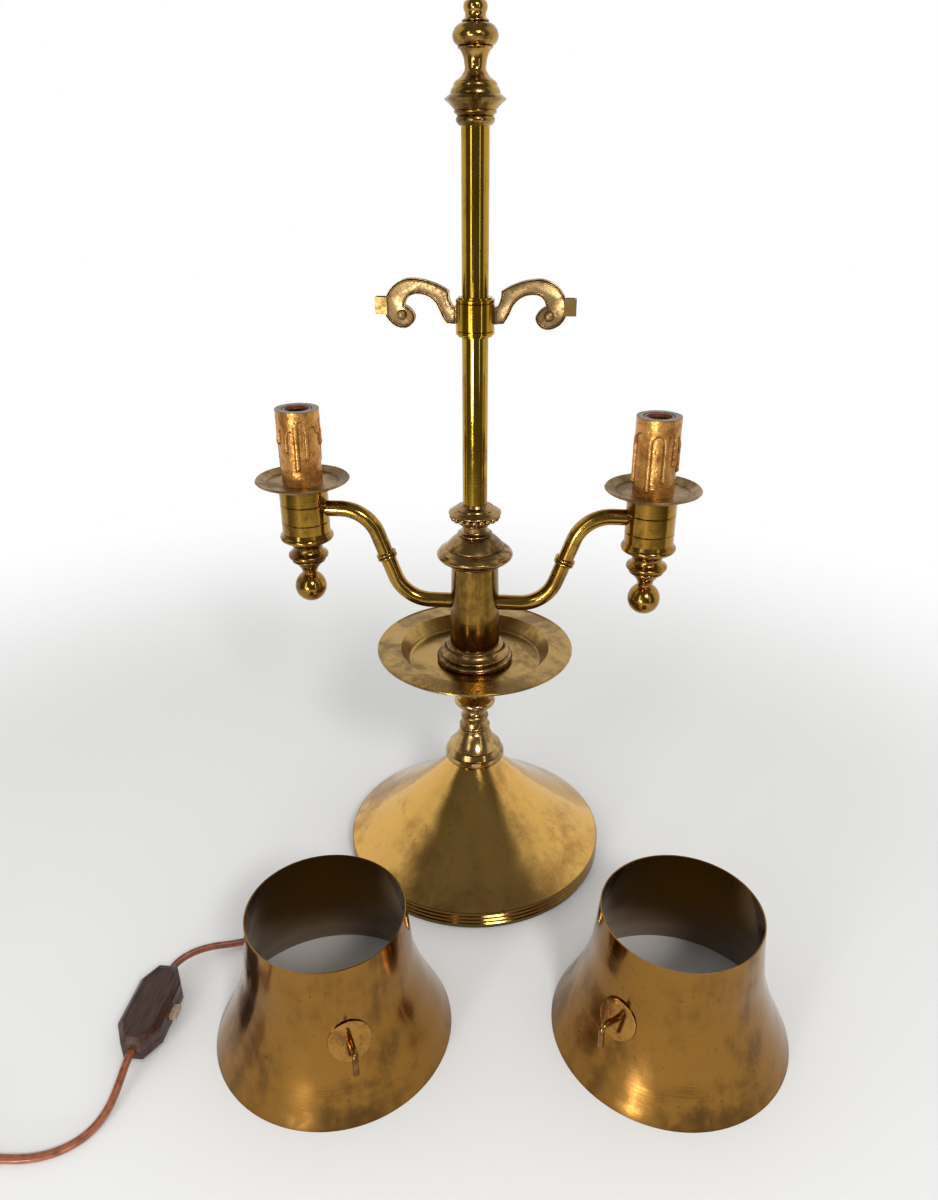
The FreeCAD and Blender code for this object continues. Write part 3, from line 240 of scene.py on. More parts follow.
def choose(piece, kind, wanted):
    """Select some of a piece's points, edges or faces, and go into edit mode with them."""
    bpy.ops.object.mode_set(mode="OBJECT")
    alone(piece)
    mesh = piece.data
    for part in (mesh.vertices, mesh.edges, mesh.polygons):
        part.foreach_set("select", [False] * len(part))
    bpy.context.tool_settings.mesh_select_mode = [kind == "VERT", kind == "EDGE", kind == "FACE"]
    parts = {"VERT": mesh.vertices, "EDGE": mesh.edges, "FACE": mesh.polygons}[kind]
    for part in parts:
        if wanted(part):
            part.select = True
    bpy.ops.object.mode_set(mode="EDIT")


def finished(piece, angle=35):
    """Leave edit mode and shade a piece smooth, but for its sharp edges."""
    bpy.ops.object.mode_set(mode="OBJECT")
    alone(piece)
    bpy.ops.object.shade_smooth_by_angle(angle=math.radians(angle))


def sleeve_on_flex(name, start, rings, body, finish):
    """A sleeve round the flex: rings are (length along the flex from start, radius)."""
    bpy.ops.object.select_all(action="DESELECT")
    bpy.ops.mesh.primitive_cylinder_add(vertices=24, radius=1, depth=1, end_fill_type="NGON")
    sleeve = bpy.context.object
    sleeve.name = name
    choose(sleeve, "EDGE", lambda e: abs(sleeve.data.vertices[e.vertices[0]].co.z -
                                         sleeve.data.vertices[e.vertices[1]].co.z) > 0.5)
    bpy.ops.mesh.subdivide(number_cuts=len(rings) - 2)
    bpy.ops.object.mode_set(mode="OBJECT")
    path = along_flex[start:]
    steps = [0.0]
    for a, b in zip(path, path[1:]):
        steps.append(steps[-1] + (b - a).length)
    for vertex in sleeve.data.vertices:
        away, radius = rings[round((vertex.co.z + 0.5) * (len(rings) - 1))]
        k = next(i for i, step in enumerate(steps) if step > away)
        share = (away - steps[k - 1]) / (steps[k] - steps[k - 1])
        ahead = (path[k] - path[k - 1]).normalized()
        side = ahead.cross(Vector((0, 0, 1))).normalized()
        rise = side.cross(ahead)
        middle = path[k - 1].lerp(path[k], share)
        vertex.co = middle + (side * vertex.co.x + rise * vertex.co.y) * radius
    choose(sleeve, "FACE", lambda f: True)
    bpy.ops.mesh.normals_make_consistent(inside=False)
    finished(sleeve, 50)
    sleeve.data.materials.append(finish)
    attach(sleeve, body)


def plain_finish(name, first, second, grain, polish, height=0.1, stretch=(1, 1, 1)):
    """Moulded, painted or cast stuff: two close colours, a fine grain and its own dullness."""
    finish = bpy.data.materials.new(name)
    finish.use_nodes = True
    look = finish.node_tree.nodes["Principled BSDF"]
    link = finish.node_tree.links.new
    place = add_node(finish, "TexCoord").outputs["Object"]
    at = add_node(finish, "Mapping", Vector=place, Scale=stretch).outputs[0]
    speck = add_node(finish, "TexNoise", Vector=at, Scale=grain, Detail=6.0).outputs["Fac"]
    tint = blended(finish, mapped(finish, speck, 0.35, 0.68), (*first, 1), (*second, 1))
    link(tint, look.inputs["Base Color"])
    link(mapped(finish, speck, 0.3, 0.7, *polish), look.inputs["Roughness"])
    face = add_node(finish, "Bump", Height=speck, Strength=height, Distance=0.0006).outputs[0]
    link(face, look.inputs["Normal"])
    return finish


rubber = plain_finish("dark_rubber", (0.055, 0.024, 0.016), (0.035, 0.016, 0.011), 700.0, (0.45, 0.6), 0.2)
rib_count, rib_pitch, rib_taper, bush_face = 5, 0.0042, 0.00022, 0.0996
relief_rings = [(0.0, 0.0036), (0.0006, 0.0042)]
for rib in range(rib_count):
    relief_rings += [(away + rib_pitch * rib, radius - rib_taper * rib) for away, radius in (
        (0.0030, 0.0041), (0.0034, 0.0036), (0.0046, 0.0036), (0.0050, 0.0040))]
relief_rings += [(0.0246, 0.0030), (0.0252, 0.0026)]
relief_start = next(i for i, p in enumerate(along_flex) if p.xy.length > bush_face)
sleeve_on_flex("strain_relief", relief_start, relief_rings, "lamp", rubber)

# Base. A spun brass cone over a cast weight, with four turned ridges on its rim; the brass
# is old, warm and blotchy, pitted, and slightly wavy from the spinning.


def clouds(finish, at, scale, detail, **more):
    """Noise spread over a piece, as a value."""
    return add_node(finish, "TexNoise", Vector=at, Scale=scale, Detail=detail, **more).outputs["Fac"]


def plus_share(finish, value, share, rest):
    """A value times a share, and the rest on top."""
    return add_node(finish, "Math", {"operation": "MULTIPLY_ADD"}, _0=value, _1=share, _2=rest).outputs[0]


def old_brass(name, clean, tarnished, centre=(0, 0, 0), cloud=9.0, share=(0.42, 0.68), polish=(0.14, 0.32),
              grime_and_shade=0.75, pits=0.6, streak=0.5, wave=0.0, mark=0.07, inside=None, dark_below=None, neighbours_shade=False):
    """Old turned brass: clouds of tarnish, pits, streaks down the piece, dark residue and painted shade in its
    grooves and where faces meet, fine rings from the lathe, and a slow waviness in spun sheet. grime_and_shade
    sets how dark that residue and painted shade get; inside is the darker colour of faces that look inwards,
    painted shade;
    dark_below is the height under which the piece is made dark; neighbours_shade lets other pieces' nearness add
    painted shade."""
    finish = bpy.data.materials.new(name)
    finish.use_nodes = True
    look = finish.node_tree.nodes["Principled BSDF"]
    link = finish.node_tree.links.new
    where = add_node(finish, "TexCoord")
    at = add_node(finish, "Mapping", Vector=where.outputs["Object"], Location=[-c for c in centre]).outputs[0]
    parts = add_node(finish, "SeparateXYZ", Vector=at)
    flat = add_node(finish, "CombineXYZ", X=parts.outputs["X"], Y=parts.outputs["Y"]).outputs[0]
    reach = add_node(finish, "VectorMath", {"operation": "LENGTH"}, _0=flat).outputs["Value"]
    outward = add_node(finish, "VectorMath", {"operation": "NORMALIZE"}, _0=flat).outputs[0]
    # clouds of tarnish
    big = clouds(finish, at, cloud, 5.0, Roughness=0.62, Distortion=0.8)
    small = clouds(finish, at, cloud * 8, 6.0, Roughness=0.6)
    both = plus_share(finish, small, 0.4, big)
    # streaks that run down the piece: noise on the outward direction, drawn out along the height
    down = add_node(finish, "Math", {"operation": "MULTIPLY"}, _0=parts.outputs["Z"], _1=2.5).outputs[0]
    turned = add_node(finish, "SeparateXYZ", Vector=outward).outputs
    streak_at = add_node(finish, "CombineXYZ", X=turned["X"], Y=turned["Y"], Z=down).outputs[0]
    runs = clouds(finish, streak_at, 9.0, 5.0, Roughness=0.6)
    both = plus_share(finish, runs, streak * 0.5, both)
    middle = 0.2 + streak * 0.25
    patch = mapped(finish, both, share[0] + middle, share[1] + middle)
    tint = blended(finish, patch, (*clean, 1), (*tarnished, 1))
    # pits
    speck = clouds(finish, at, 330.0, 3.0, Roughness=0.7)
    pit = mapped(finish, speck, 0.63, 0.73, 0.0, pits)
    tint = blended(finish, pit, tint, (tarnished[0] * 0.35, tarnished[1] * 0.3, tarnished[2] * 0.3, 1))
    # dark residue in the grooves, and painted shade where faces meet and close in, from ambient occlusion
    corner = add_node(finish, "AmbientOcclusion", {"samples": 8, "only_local": not neighbours_shade}, Distance=0.004)
    grime_shade_share = mapped(finish, corner.outputs["AO"], 0.40, 0.90, grime_and_shade, 0.0)
    tint = blended(finish, grime_shade_share, tint, (0.045, 0.022, 0.008, 1))
    # faces that look inwards take the darker inside colour: painted shade
    if inside:
        facing = add_node(finish, "VectorMath", {"operation": "DOT_PRODUCT"}, _0=where.outputs["Normal"],
                          _1=outward).outputs["Value"]
        tint = blended(finish, mapped(finish, facing, -0.25, -0.05, 1.0, 0.0), tint, (*inside, 1))
    # the piece is made dark below the given height
    if dark_below:
        rim = mapped(finish, parts.outputs["Z"], dark_below * 0.94, dark_below, 0.92, 0.0)
        tint = blended(finish, rim, tint, (tarnished[0] * 0.4, tarnished[1] * 0.37, tarnished[2] * 0.3, 1))
    link(tint, look.inputs["Base Color"])
    look.inputs["Metallic"].default_value = 1.0
    # shine
    fine = clouds(finish, at, 150.0, 5.0)
    rough = plus_share(finish, pit, 0.5, plus_share(finish, fine, 0.5, patch))
    link(mapped(finish, rough, 0.1, 1.3, *polish), look.inputs["Roughness"])
    # lathe rings, pits and waviness
    ring_at = add_node(finish, "CombineXYZ", X=reach, Z=parts.outputs["Z"]).outputs[0]
    lines = clouds(finish, ring_at, 900.0, 3.0)
    height = plus_share(finish, pit, -0.5, plus_share(finish, fine, 0.4, lines))
    face = add_node(finish, "Bump", Height=height, Strength=mark, Distance=0.0003).outputs[0]
    if wave:
        slow = clouds(finish, at, 15.0, 2.0)
        face = add_node(finish, "Bump", Height=slow, Strength=wave, Distance=0.004, Normal=face).outputs[0]
    link(face, look.inputs["Normal"])
    return finish


def dress(finish, *nodes):
    """Give CAD pieces their finish."""
    for node in nodes:
        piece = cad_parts[node]
        piece.data.materials.clear()
        piece.data.materials.append(finish)


rim_top = 0.0147
# The rim band below rim_top is made dark.
dress(old_brass("base_brass", (0.66, 0.385, 0.10), (0.40, 0.215, 0.06), cloud=11.0, polish=(0.07, 0.19),
                pits=0.75, streak=0.3, wave=0.5, dark_below=rim_top), "base_shell")
dress(plain_finish("green_felt", (0.030, 0.085, 0.045), (0.018, 0.050, 0.028), 2500.0, (0.95, 1.0), 0.5),
      "base_felt")
dress(plain_finish("cast_iron", (0.07, 0.07, 0.07), (0.035, 0.035, 0.035), 500.0, (0.6, 0.8), 0.5),
      "base_weight")
holder_plastic = plain_finish("holder_plastic", (0.20, 0.055, 0.03), (0.12, 0.03, 0.018), 300.0, (0.3, 0.45))
dress(holder_plastic, "cord_bush", "wire_connector", "lampholders")
bare_brass = old_brass("bare_brass", (0.70, 0.52, 0.22), (0.48, 0.33, 0.12), cloud=60.0, pits=0.2)
dress(bare_brass, "tie_rod", "tie_rod_nuts", "base_washer", "stem_rod", "cup_nipples", "bobeche_nuts",
      "lampholder_threads", "lampholder_contacts", "switch_contacts", "plug_pins")
dress(plain_finish("core_plastic", (0.35, 0.02, 0.015), (0.28, 0.015, 0.01), 300.0, (0.3, 0.4)),
      "feed_cores", "arm_wires")

# Neck. A cast and turned bell with two cut lines and three beads, a round ring and a plain tube
# above it, all threaded on the tie rod under the drip pan.
neck_brass = old_brass("neck_brass", (0.50, 0.33, 0.125), (0.18, 0.10, 0.035), cloud=30.0, polish=(0.16, 0.34),
                       streak=0.3)
dress(neck_brass, "neck_bell", "neck_ring", "neck_tube")

# Drip pan. A spun brass saucer with a broad flat rim, worn pale and scratched on top.
dress(old_brass("pan_brass", (0.42, 0.26, 0.075), (0.22, 0.13, 0.04), cloud=18.0, polish=(0.2, 0.38),
                streak=0.1, wave=0.2), "drip_pan")

# Column. A tapered brass tube between a cast foot and a cast cap; the beaded ring that closes
# it carries the stem. The castings have gone brown, the tube is still bright.
# The castings' grooves take deeper dark residue and painted shade.
cast_brass = old_brass("cast_brass", (0.36, 0.22, 0.08), (0.12, 0.065, 0.024), cloud=34.0, polish=(0.2, 0.4),
                       grime_and_shade=0.85, streak=0.2)
dress(cast_brass, "column_foot", "column_cap", "beaded_ring", "ring_beads")
dress(old_brass("column_brass", (0.29, 0.165, 0.032), (0.13, 0.07, 0.015), cloud=16.0, polish=(0.10, 0.24),
                streak=0.5), "column_tube")

# Stem. Plain drawn tube, greener than the rest, drawn down between ring and finial by a rod.
dress(old_brass("stem_brass", (0.43, 0.262, 0.026), (0.20, 0.112, 0.01), cloud=14.0, polish=(0.08, 0.2),
                pits=0.4, streak=0.5), "stem_tube")

# Finial. Turned in three pieces that screw together: a flanged foot, a bulb and a knob.
dress(old_brass("finial_brass", (0.42, 0.25, 0.06), (0.16, 0.085, 0.022), cloud=30.0, polish=(0.14, 0.28),
                pits=0.2, mark=0.02, streak=0.3), "finial_base", "finial", "finial_knob")

# Arms and candle cups. Bent brass tubes with a bead at the middle, soldered into turned cups;
# each cup carries a loose dull dish and hangs in a turned drop.
dress(old_brass("arm_brass", (0.43, 0.245, 0.042), (0.19, 0.10, 0.018), cloud=24.0, polish=(0.12, 0.26),
                streak=0.0), "arm_left", "arm_right", "arm_beads")
arm_reach = 0.118
for side, x in (("left", -arm_reach), ("right", arm_reach)):
    dress(old_brass("cup_brass_" + side, (0.37, 0.20, 0.03), (0.15, 0.078, 0.013), centre=(x, 0, 0), cloud=24.0,
                    polish=(0.10, 0.26), streak=0.3), "cup_" + side)
dress(old_brass("drop_brass", (0.36, 0.195, 0.035), (0.13, 0.067, 0.015), cloud=34.0, streak=0.0), "cup_drops")
dress(old_brass("dish_brass", (0.34, 0.21, 0.08), (0.19, 0.115, 0.042), cloud=30.0, polish=(0.34, 0.5),
                streak=0.0, mark=0.2), "bobeches")

# Candle sleeves. Card tubes cast over with mock wax that runs down in drips, painted gold and
# rubbed, so that the paint has stayed orange in patches; the foot of each wax edge and the creases are darkened
# with painted shade. The top edge is worn bare.
gold_paint, rubbed_paint = (0.62, 0.31, 0.075, 1), (0.34, 0.13, 0.026, 1)
# Colours of the painted shade at the wax's foot and in creases, and of the bare top edge.
wax_foot_shade_colour, crease_shade_colour, bare_edge = (0.12, 0.042, 0.012, 1), (0.075, 0.028, 0.010, 1), (0.17, 0.115, 0.07, 1)
bare_from, bare_to = 0.34860, 0.34905
gilt = bpy.data.materials.new("rubbed_gilt")
gilt.use_nodes = True
gilt_look = gilt.node_tree.nodes["Principled BSDF"]
gilt_link = gilt.node_tree.links.new
gilt_place = add_node(gilt, "TexCoord").outputs["Object"]
gilt_cloud = clouds(gilt, gilt_place, 95.0, 5.0, Roughness=0.65)
gilt_tint = blended(gilt, mapped(gilt, gilt_cloud, 0.36, 0.66), gold_paint, rubbed_paint)
# painted shade along the foot of each wax edge
gilt_wax_foot_shade = add_node(gilt, "Attribute", {"attribute_name": "wax_foot_shade"}).outputs["Fac"]
gilt_tint = blended(gilt, mapped(gilt, gilt_wax_foot_shade, 0.1, 1.0, 0.0, 0.6), gilt_tint, wax_foot_shade_colour)
# painted shade in the creases round the drips, from ambient occlusion
gilt_corner = add_node(gilt, "AmbientOcclusion", {"samples": 8, "only_local": True}, Distance=0.0022)
gilt_crease_shade = mapped(gilt, gilt_corner.outputs["AO"], 0.5, 0.93, 0.9, 0.0)
gilt_tint = blended(gilt, gilt_crease_shade, gilt_tint, crease_shade_colour)
gilt_height = add_node(gilt, "SeparateXYZ", Vector=gilt_place).outputs["Z"]
gilt_tint = blended(gilt, mapped(gilt, gilt_height, bare_from, bare_to), gilt_tint, bare_edge)
gilt_link(gilt_tint, gilt_look.inputs["Base Color"])
gilt_look.inputs["Metallic"].default_value = 0.75
gilt_grain = clouds(gilt, gilt_place, 900.0, 4.0)
gilt_link(mapped(gilt, gilt_grain, 0.3, 0.7, 0.24, 0.46), gilt_look.inputs["Roughness"])
gilt_link(add_node(gilt, "Bump", Height=gilt_grain, Strength=0.45, Distance=0.0004).outputs[0],
          gilt_look.inputs["Normal"])

candle_r, candle_low, candle_high, mouth_r = 0.0136, 0.29824, 0.34924, 0.0096
candle_h = candle_high - candle_low
candle_mm = 51  # the same height in mm, for the wax
arch_bow, edge_width, edge_lead, dark_width = 0.16, 0.55, 0.3, 0.55


def swell(share):
    """0 below 0, 1 above 1 and a soft rise between."""
    share = min(max(share, 0.0), 1.0)
    return share * share * (3 - 2 * share)


def wax(turn, down, drips):
    """How far the wax stands out, in mm, and how much painted shade lies at the foot of its edge, at a turn in
    degrees and a share of the height down. A drip is (turn, half width, share where it ends, size of its bead,
    share where the arch after it begins). best is the distance inside the wax's edge, in mm."""
    mm_per_deg = math.pi / 180 * candle_r * 1000
    best, ridge = -9.0, 0.0
    for k, (middle, half, end, bead, arch) in enumerate(drips):
        following = drips[(k + 1) % len(drips)]
        gap_from = middle + half
        gap_to = following[0] - following[1] + (360 if k + 1 == len(drips) else 0)
        gap_middle, gap_half = (gap_from + gap_to) / 2, (gap_to - gap_from) / 2
        off = (turn - gap_middle + 180) % 360 - 180
        if abs(off) < gap_half + half:
            bow = 1 - math.sqrt(max(0.0, 1 - (off / gap_half) ** 2))
            sag = min(arch_bow, gap_half * mm_per_deg / candle_mm * 1.5) * bow
            best = max(best, (arch + sag - down) * candle_mm)
        across = ((turn - middle + 180) % 360 - 180) * mm_per_deg
        wide = half * mm_per_deg
        past = max(0.0, (down - end) * candle_mm + wide)
        best = max(best, wide - math.hypot(across, past))
        if abs(across) < wide and past < wide:
            rounded = math.sqrt(max(0.0, 1 - (across / wide) ** 2))
            ridge = max(ridge, 0.75 * rounded * swell((down - arch) / 0.12))
        bulb = 1.35 * wide
        from_bulb = math.hypot(across, (down - end) * candle_mm + bulb)
        if from_bulb < bulb:
            ridge = max(ridge, bead * math.sqrt(1 - (from_bulb / bulb) ** 2))
    out = 0.95 * swell(best / edge_width + edge_lead) + ridge
    return out, math.exp(-((best + 0.30) / dark_width) ** 2)


left_drips = [(-148, 5, 0.58, 0.5, 0.22), (-112, 6, 0.86, 0.7, 0.30), (-73, 7, 0.44, 1.0, 0.24),
              (-38, 5, 0.53, 0.5, 0.25), (-9, 5.5, 0.76, 0.7, 0.12), (18, 5, 0.62, 0.5, 0.20),
              (58, 6, 0.30, 0.5, 0.12), (76, 7, 0.47, 1.0, 0.18), (112, 5, 0.74, 0.6, 0.26),
              (160, 6, 0.66, 0.6, 0.20)]
right_drips = [(-150, 6, 0.62, 0.6, 0.25), (-112, 5, 0.50, 0.5, 0.20), (-78, 6, 0.87, 1.0, 0.18),
               (-17, 5.5, 0.93, 0.8, 0.20), (24, 5, 0.80, 0.8, 0.17), (55, 5, 0.60, 0.5, 0.22),
               (78, 6, 0.69, 1.0, 0.22), (118, 5, 0.84, 0.6, 0.28), (158, 6, 0.52, 0.5, 0.16)]
for side, x, faces, drips in (("left", -arm_reach, -73.8, left_drips), ("right", arm_reach, -96.5, right_drips)):
    bpy.ops.object.select_all(action="DESELECT")
    bpy.ops.mesh.primitive_cylinder_add(vertices=208, radius=candle_r, depth=candle_h,
                                        end_fill_type="NOTHING", location=(x, 0, (candle_low + candle_high) / 2))
    candle = bpy.context.object
    candle.name = "wax_sleeve_" + side
    shape_in_place(candle)
    points = candle.data.vertices
    choose(candle, "EDGE", lambda e: abs(points[e.vertices[0]].co.z - points[e.vertices[1]].co.z) > 0.01)
    bpy.ops.mesh.subdivide(number_cuts=95)
    bpy.ops.object.mode_set(mode="OBJECT")
    wax_foot_shade = candle.data.attributes.new("wax_foot_shade", "FLOAT", "POINT")
    for number, vertex in enumerate(candle.data.vertices):
        px, py, pz = vertex.co.x - x, vertex.co.y, vertex.co.z
        turn = math.degrees(math.atan2(py, px)) - faces
        out, dark = wax(turn, (candle_high - pz) / candle_h, drips)
        # the share of painted shade at the foot of the wax's edge
        wax_foot_shade.data[number].value = dark
        spot = Vector((px, py, pz))
        out += 0.16 * noise.noise(spot * 420) + 0.07 * noise.noise(spot * 1300)
        out *= swell((pz - candle_low) / 0.0008)
        vertex.co.x += px / candle_r * out * 0.001
        vertex.co.y += py / candle_r * out * 0.001
    top_centre = (x, 0, candle_high)
    choose(candle, "VERT", lambda v: v.co.z > candle_high - 1e-5)
    for narrow, drop in ((0.96, 0.0), (0.92 * mouth_r / (candle_r * 0.90), -0.00012), (1.0, -0.00105),
                         (0.0125 / mouth_r, 0.0), (1.0, candle_low - candle_high + 0.00117)):
        bpy.ops.mesh.extrude_region_move(TRANSFORM_OT_translate={"value": (0, 0, drop)})
        bpy.ops.transform.resize(value=(narrow, narrow, 1), center_override=top_centre)
    choose(candle, "EDGE", lambda e: all(abs(points[i].co.z - candle_low) < 3e-5 for i in e.vertices))
    bpy.ops.mesh.bridge_edge_loops()
    choose(candle, "FACE", lambda f: True)
    bpy.ops.mesh.normals_make_consistent(inside=False)
    finished(candle, 60)
    candle.data.materials.append(gilt)
    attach(candle, "lamp")
    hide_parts("candle_sleeve_" + side)

# Shade carrier. A collar turns on a sprung liner on the stem; two scrolls cast in bronze are
# brazed to it, each with a raised double line round a sunk field and a round boss at its eye,
# and each carries a square brass socket for the shade's hook.
dress(old_brass("collar_brass", (0.46, 0.265, 0.018), (0.22, 0.115, 0.008), cloud=20.0, polish=(0.10, 0.2),
                pits=0.3, streak=0.3), "collar", "collar_liner")
dress(old_brass("socket_brass", (0.34, 0.21, 0.07), (0.18, 0.11, 0.035), cloud=60.0, polish=(0.3, 0.45),
                streak=0.0, mark=0.0, pits=0.2), "hook_sockets")
# The scrolls' sunk fields take the deepest dark residue and painted shade.
scroll_bronze = old_brass("scroll_bronze", (0.50, 0.33, 0.14), (0.20, 0.115, 0.045), cloud=70.0,
                          share=(0.40, 0.64), polish=(0.30, 0.5), grime_and_shade=1.0, streak=0.0, mark=0.18)
scroll_bronze.node_tree.nodes["Principled BSDF"].inputs["Metallic"].default_value = 0.9


def bent_through(start, via, end, steps):
    """Points on the arc from start through via, without its end."""
    ax, ay = start
    bx, by = via
    cx, cy = end
    d = 2 * (ax * (by - cy) + bx * (cy - ay) + cx * (ay - by))
    a2, b2, c2 = ax * ax + ay * ay, bx * bx + by * by, cx * cx + cy * cy
    ux = (a2 * (by - cy) + b2 * (cy - ay) + c2 * (ay - by)) / d
    uy = (a2 * (cx - bx) + b2 * (ax - cx) + c2 * (bx - ax)) / d
    radius = math.hypot(ax - ux, ay - uy)
    a0, a1, a2 = (math.atan2(y - uy, x - ux) for x, y in (start, via, end))
    ccw = (a1 - a0) % (2 * math.pi) < (a2 - a0) % (2 * math.pi)
    sweep = (a2 - a0) % (2 * math.pi) if ccw else -((a0 - a2) % (2 * math.pi))
    return [(ux + radius * math.cos(a0 + sweep * k / steps), uy + radius * math.sin(a0 + sweep * k / steps))
            for k in range(steps)]


scroll_line = [(11.6, 404.3), (11.6, 414.9)]
for start, via, end, steps in (
        ((13.6, 414.9), (15.6, 419.2), (16.0, 423.9), 5), ((16.0, 423.9), (26.3, 429.0), (37.2, 431.2), 12),
        ((37.2, 431.2), (50.6, 426.8), (56.6, 415.3), 18), ((56.6, 415.3), (53.6, 405.6), (45.5, 401.5), 12),
        ((45.5, 401.5), (39.4, 403.8), (37.2, 408.6), 10), ((37.2, 408.6), (39.3, 412.5), (43.5, 415.3), 6),
        ((43.5, 415.3), (41.5, 419.7), (36.4, 421.9), 8), ((36.4, 421.9), (28.3, 420.0), (22.7, 413.7), 12),
        ((22.7, 413.7), (20.7, 409.2), (17.8, 404.8), 6)):
    scroll_line += bent_through(start, via, end, steps)
scroll_line.append((17.8, 404.8))
scroll_half = 0.0023
boss_radius, boss_flat, boss_sunk, boss_x, boss_z = 0.0029, 0.62, 0.0004, 0.0457, 0.4096
relief_steps = ((0.00045, 0.0), (0.00025, -0.0007), (0.00025, 0.0), (0.00025, 0.0007), (0.00035, 0.0),
                (0.00035, -0.0009))
scrolls = []
for way in (1, -1):
    bpy.ops.object.select_all(action="DESELECT")
    bpy.ops.mesh.primitive_circle_add(vertices=len(scroll_line), radius=0.03, fill_type="NGON")
    scroll = bpy.context.object
    scroll.name = "scroll"
    for vertex, (along, up) in zip(scroll.data.vertices, scroll_line):
        vertex.co = (way * along / 1000, -scroll_half, up / 1000)
    choose(scroll, "FACE", lambda f: True)
    bpy.ops.mesh.extrude_region_move(TRANSFORM_OT_translate={"value": (0, 2 * scroll_half, 0)})
    bpy.ops.mesh.select_all(action="SELECT")
    bpy.ops.mesh.normals_make_consistent(inside=False)
    for side_y in (-1, 1):
        choose(scroll, "FACE", lambda f: f.normal.y * side_y > 0.9)
        for thickness, depth in relief_steps:
            bpy.ops.mesh.inset(thickness=thickness, depth=depth, use_even_offset=True)
    bpy.ops.object.mode_set(mode="OBJECT")
    scrolls.append(scroll)
    for side_y in (-1, 1):
        bpy.ops.object.select_all(action="DESELECT")
        boss_at = (way * boss_x, side_y * (scroll_half - boss_sunk), boss_z)
        bpy.ops.mesh.primitive_uv_sphere_add(segments=32, ring_count=16, radius=boss_radius, location=boss_at)
        boss = bpy.context.object
        boss.scale = (1, boss_flat, 1)
        shape_in_place(boss)
        scrolls.append(boss)
alone(scrolls[0])
for piece in scrolls:
    piece.select_set(True)
bpy.ops.object.join()
scroll_pair = bpy.context.object
scroll_pair.name = "scroll_pair"
soften = scroll_pair.modifiers.new("soft edges", "BEVEL")
soften.width = 0.00022
soften.segments = 2
soften.limit_method = "ANGLE"
soften.angle_limit = math.radians(40)
bpy.ops.object.modifier_apply(modifier=soften.name)
finished(scroll_pair, 40)
scroll_pair.data.materials.append(scroll_bronze)
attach(scroll_pair, "shade_carrier")
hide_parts("scrolls")

# Shades. Thin brass spun to a bell, lacquered brown, with its inside painted nearly black as shade, standing on
# the floor in front of the lamp; a round plate and a bent rod hook are soldered to each flare.


def worked_copy(node, name, finish, edge):
    """A CAD piece's own mesh, merged and with its edges rounded over."""
    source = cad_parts[node]
    piece = bpy.data.objects.new(name, source.data.copy())
    bpy.context.scene.collection.objects.link(piece)
    piece.matrix_world = source.matrix_world
    shape_in_place(piece)
    piece.data.materials.clear()
    choose(piece, "VERT", lambda v: True)
    bpy.ops.mesh.customdata_custom_splitnormals_clear()
    bpy.ops.mesh.remove_doubles(threshold=1e-6)
    bpy.ops.mesh.dissolve_limited(angle_limit=math.radians(1.0))
    bpy.ops.object.mode_set(mode="OBJECT")
    round_over = piece.modifiers.new("round over", "BEVEL")
    round_over.width = edge
    round_over.segments = 2
    round_over.limit_method = "ANGLE"
    round_over.angle_limit = math.radians(35)
    alone(piece)
    bpy.ops.object.modifier_apply(modifier=round_over.name)
    finished(piece, 35)
    piece.data.materials.append(finish)
    return piece


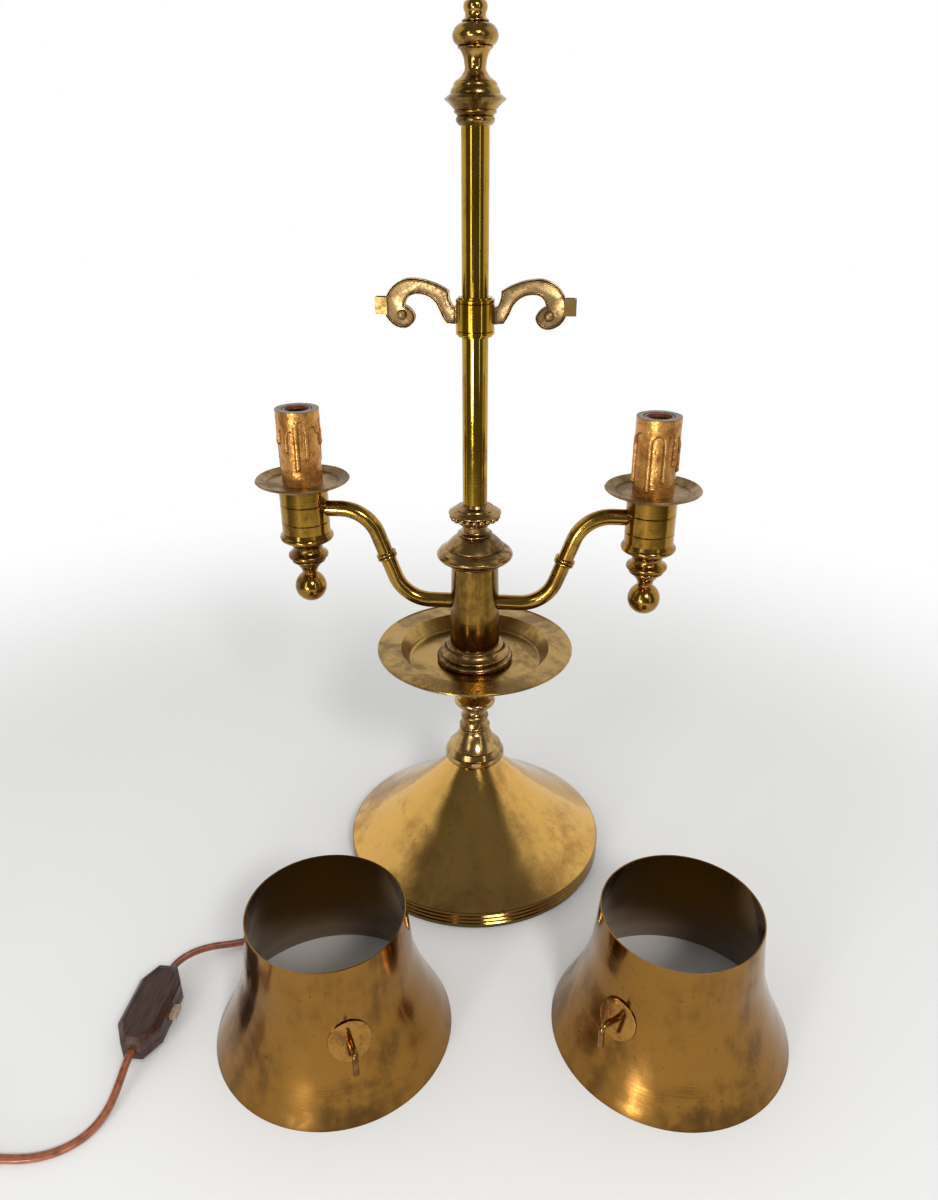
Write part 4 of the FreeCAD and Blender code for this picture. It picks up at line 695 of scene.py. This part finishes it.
shade_bends = [(0.0780, -0.0105), (0.0738, 0.0), (0.0686, 0.0110), (0.0599, 0.0305), (0.0529, 0.0530),
               (0.0500, 0.0740), (0.0480, 0.0945), (0.0462, 0.1150)]
shade_steps = 7
shade_profile = []
for before, start, end, after in zip(shade_bends, shade_bends[1:], shade_bends[2:], shade_bends[3:]):
    for step in range(shade_steps):
        t = step / shade_steps
        shade_profile.append(tuple(
            0.5 * (2 * b + (c - a) * t + (2 * a - 5 * b + 4 * c - d) * t * t + (3 * b - a - 3 * c + d) * t ** 3)
            for a, b, c, d in zip(before, start, end, after)))
shade_profile.append(shade_bends[-2])
sheet, dent = 0.0008, 0.0004
for side, x, y in (("left", -0.0725, -0.1835), ("right", 0.1381, -0.1641)):
    # The inside is painted nearly black as shade, and nearness of the plate, hook and floor adds painted shade.
    shade_brass = old_brass("shade_brass_" + side, (0.30, 0.145, 0.03), (0.15, 0.075, 0.02), centre=(x, y, 0),
                            cloud=10.0, polish=(0.12, 0.27), streak=0.35, wave=0.35,
                            inside=(0.162, 0.077, 0.008), neighbours_shade=True)
    bpy.ops.object.select_all(action="DESELECT")
    bpy.ops.mesh.primitive_circle_add(vertices=128, radius=shade_profile[0][0], location=(x, y, 0))
    shade = bpy.context.object
    shade.name = "spun_shade_" + side
    shape_in_place(shade)
    choose(shade, "VERT", lambda v: True)
    for (r_from, z_from), (r_to, z_to) in zip(shade_profile, shade_profile[1:]):
        bpy.ops.mesh.extrude_region_move(TRANSFORM_OT_translate={"value": (0, 0, z_to - z_from)})
        bpy.ops.transform.resize(value=(r_to / r_from, r_to / r_from, 1), center_override=(x, y, z_to))
    bpy.ops.mesh.select_all(action="SELECT")
    bpy.ops.mesh.normals_make_consistent(inside=False)
    bpy.ops.object.mode_set(mode="OBJECT")
    first_face = shade.data.polygons[0]
    if first_face.normal.dot(first_face.center - Vector((x, y, 0.05))) < 0:
        choose(shade, "FACE", lambda f: True)
        bpy.ops.mesh.flip_normals()
        bpy.ops.object.mode_set(mode="OBJECT")
    for vertex in shade.data.vertices:
        away = Vector((vertex.co.x - x, vertex.co.y - y, 0)).normalized()
        spot = vertex.co * 16 + Vector((x * 50, 0, 0))
        vertex.co += away * dent * noise.noise(spot) * swell(vertex.co.z / 0.02)
    wall = shade.modifiers.new("sheet", "SOLIDIFY")
    wall.thickness = sheet
    wall.offset = -1
    alone(shade)
    bpy.ops.object.modifier_apply(modifier=wall.name)
    for vertex in shade.data.vertices:
        vertex.co.z = max(vertex.co.z, 0.0)
    finished(shade, 40)
    shade.data.materials.append(shade_brass)
    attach(shade, side + "_shade")
    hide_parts("shade_" + side)
    hook_brass = old_brass("hook_brass_" + side, (0.30, 0.145, 0.035), (0.14, 0.065, 0.018), cloud=60.0,
                           polish=(0.2, 0.36), streak=0.0)
    dress(hook_brass, "hook_" + side)
    plate_brass = old_brass("plate_brass_" + side, (0.40, 0.20, 0.045), (0.22, 0.11, 0.028),
                            centre=(x, y, 0), cloud=60.0, polish=(0.15, 0.3), streak=0.0)
    plate = worked_copy("hook_plate_" + side, "solder_plate_" + side, plate_brass, 0.0005)
    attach(plate, side + "_shade")
    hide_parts("hook_plate_" + side)

# Hand switch. Two halves of brown moulded plastic held by two screws from below, with a push bar
# through the side; the upper half has a sunk panel with a streaked mould grain.
bakelite = plain_finish("brown_plastic", (0.060, 0.026, 0.017), (0.030, 0.013, 0.009), 160.0, (0.26, 0.40),
                        0.12, stretch=(3.5, 0.35, 1))
bakelite.node_tree.nodes["Principled BSDF"].inputs["Specular IOR Level"].default_value = 0.32
panel_above = 0.0185
for half in ("lower", "upper"):
    case = worked_copy("switch_" + half, "switch_case_" + half, bakelite, 0.00035)
    if half == "upper":
        choose(case, "FACE", lambda f: f.normal.z > 0.99 and f.center.z > panel_above)
        bpy.ops.mesh.inset(thickness=0.0011, depth=0.0)
        bpy.ops.mesh.inset(thickness=0.0003, depth=-0.0004)
        finished(case, 35)
    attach(case, "lamp")
    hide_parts("switch_" + half)
dress(plain_finish("ivory", (0.44, 0.32, 0.24), (0.32, 0.22, 0.16), 500.0, (0.3, 0.5)), "switch_bar")
dress(plain_finish("steel", (0.5, 0.5, 0.5), (0.35, 0.35, 0.34), 600.0, (0.25, 0.4)), "switch_screws")

# Plug. Two round pins in a moulded grip with rounded edges, at the end of the flex.
plug_case = worked_copy("plug_body", "plug_case", bakelite, 0.0008)
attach(plug_case, "lamp")
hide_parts("plug_body")
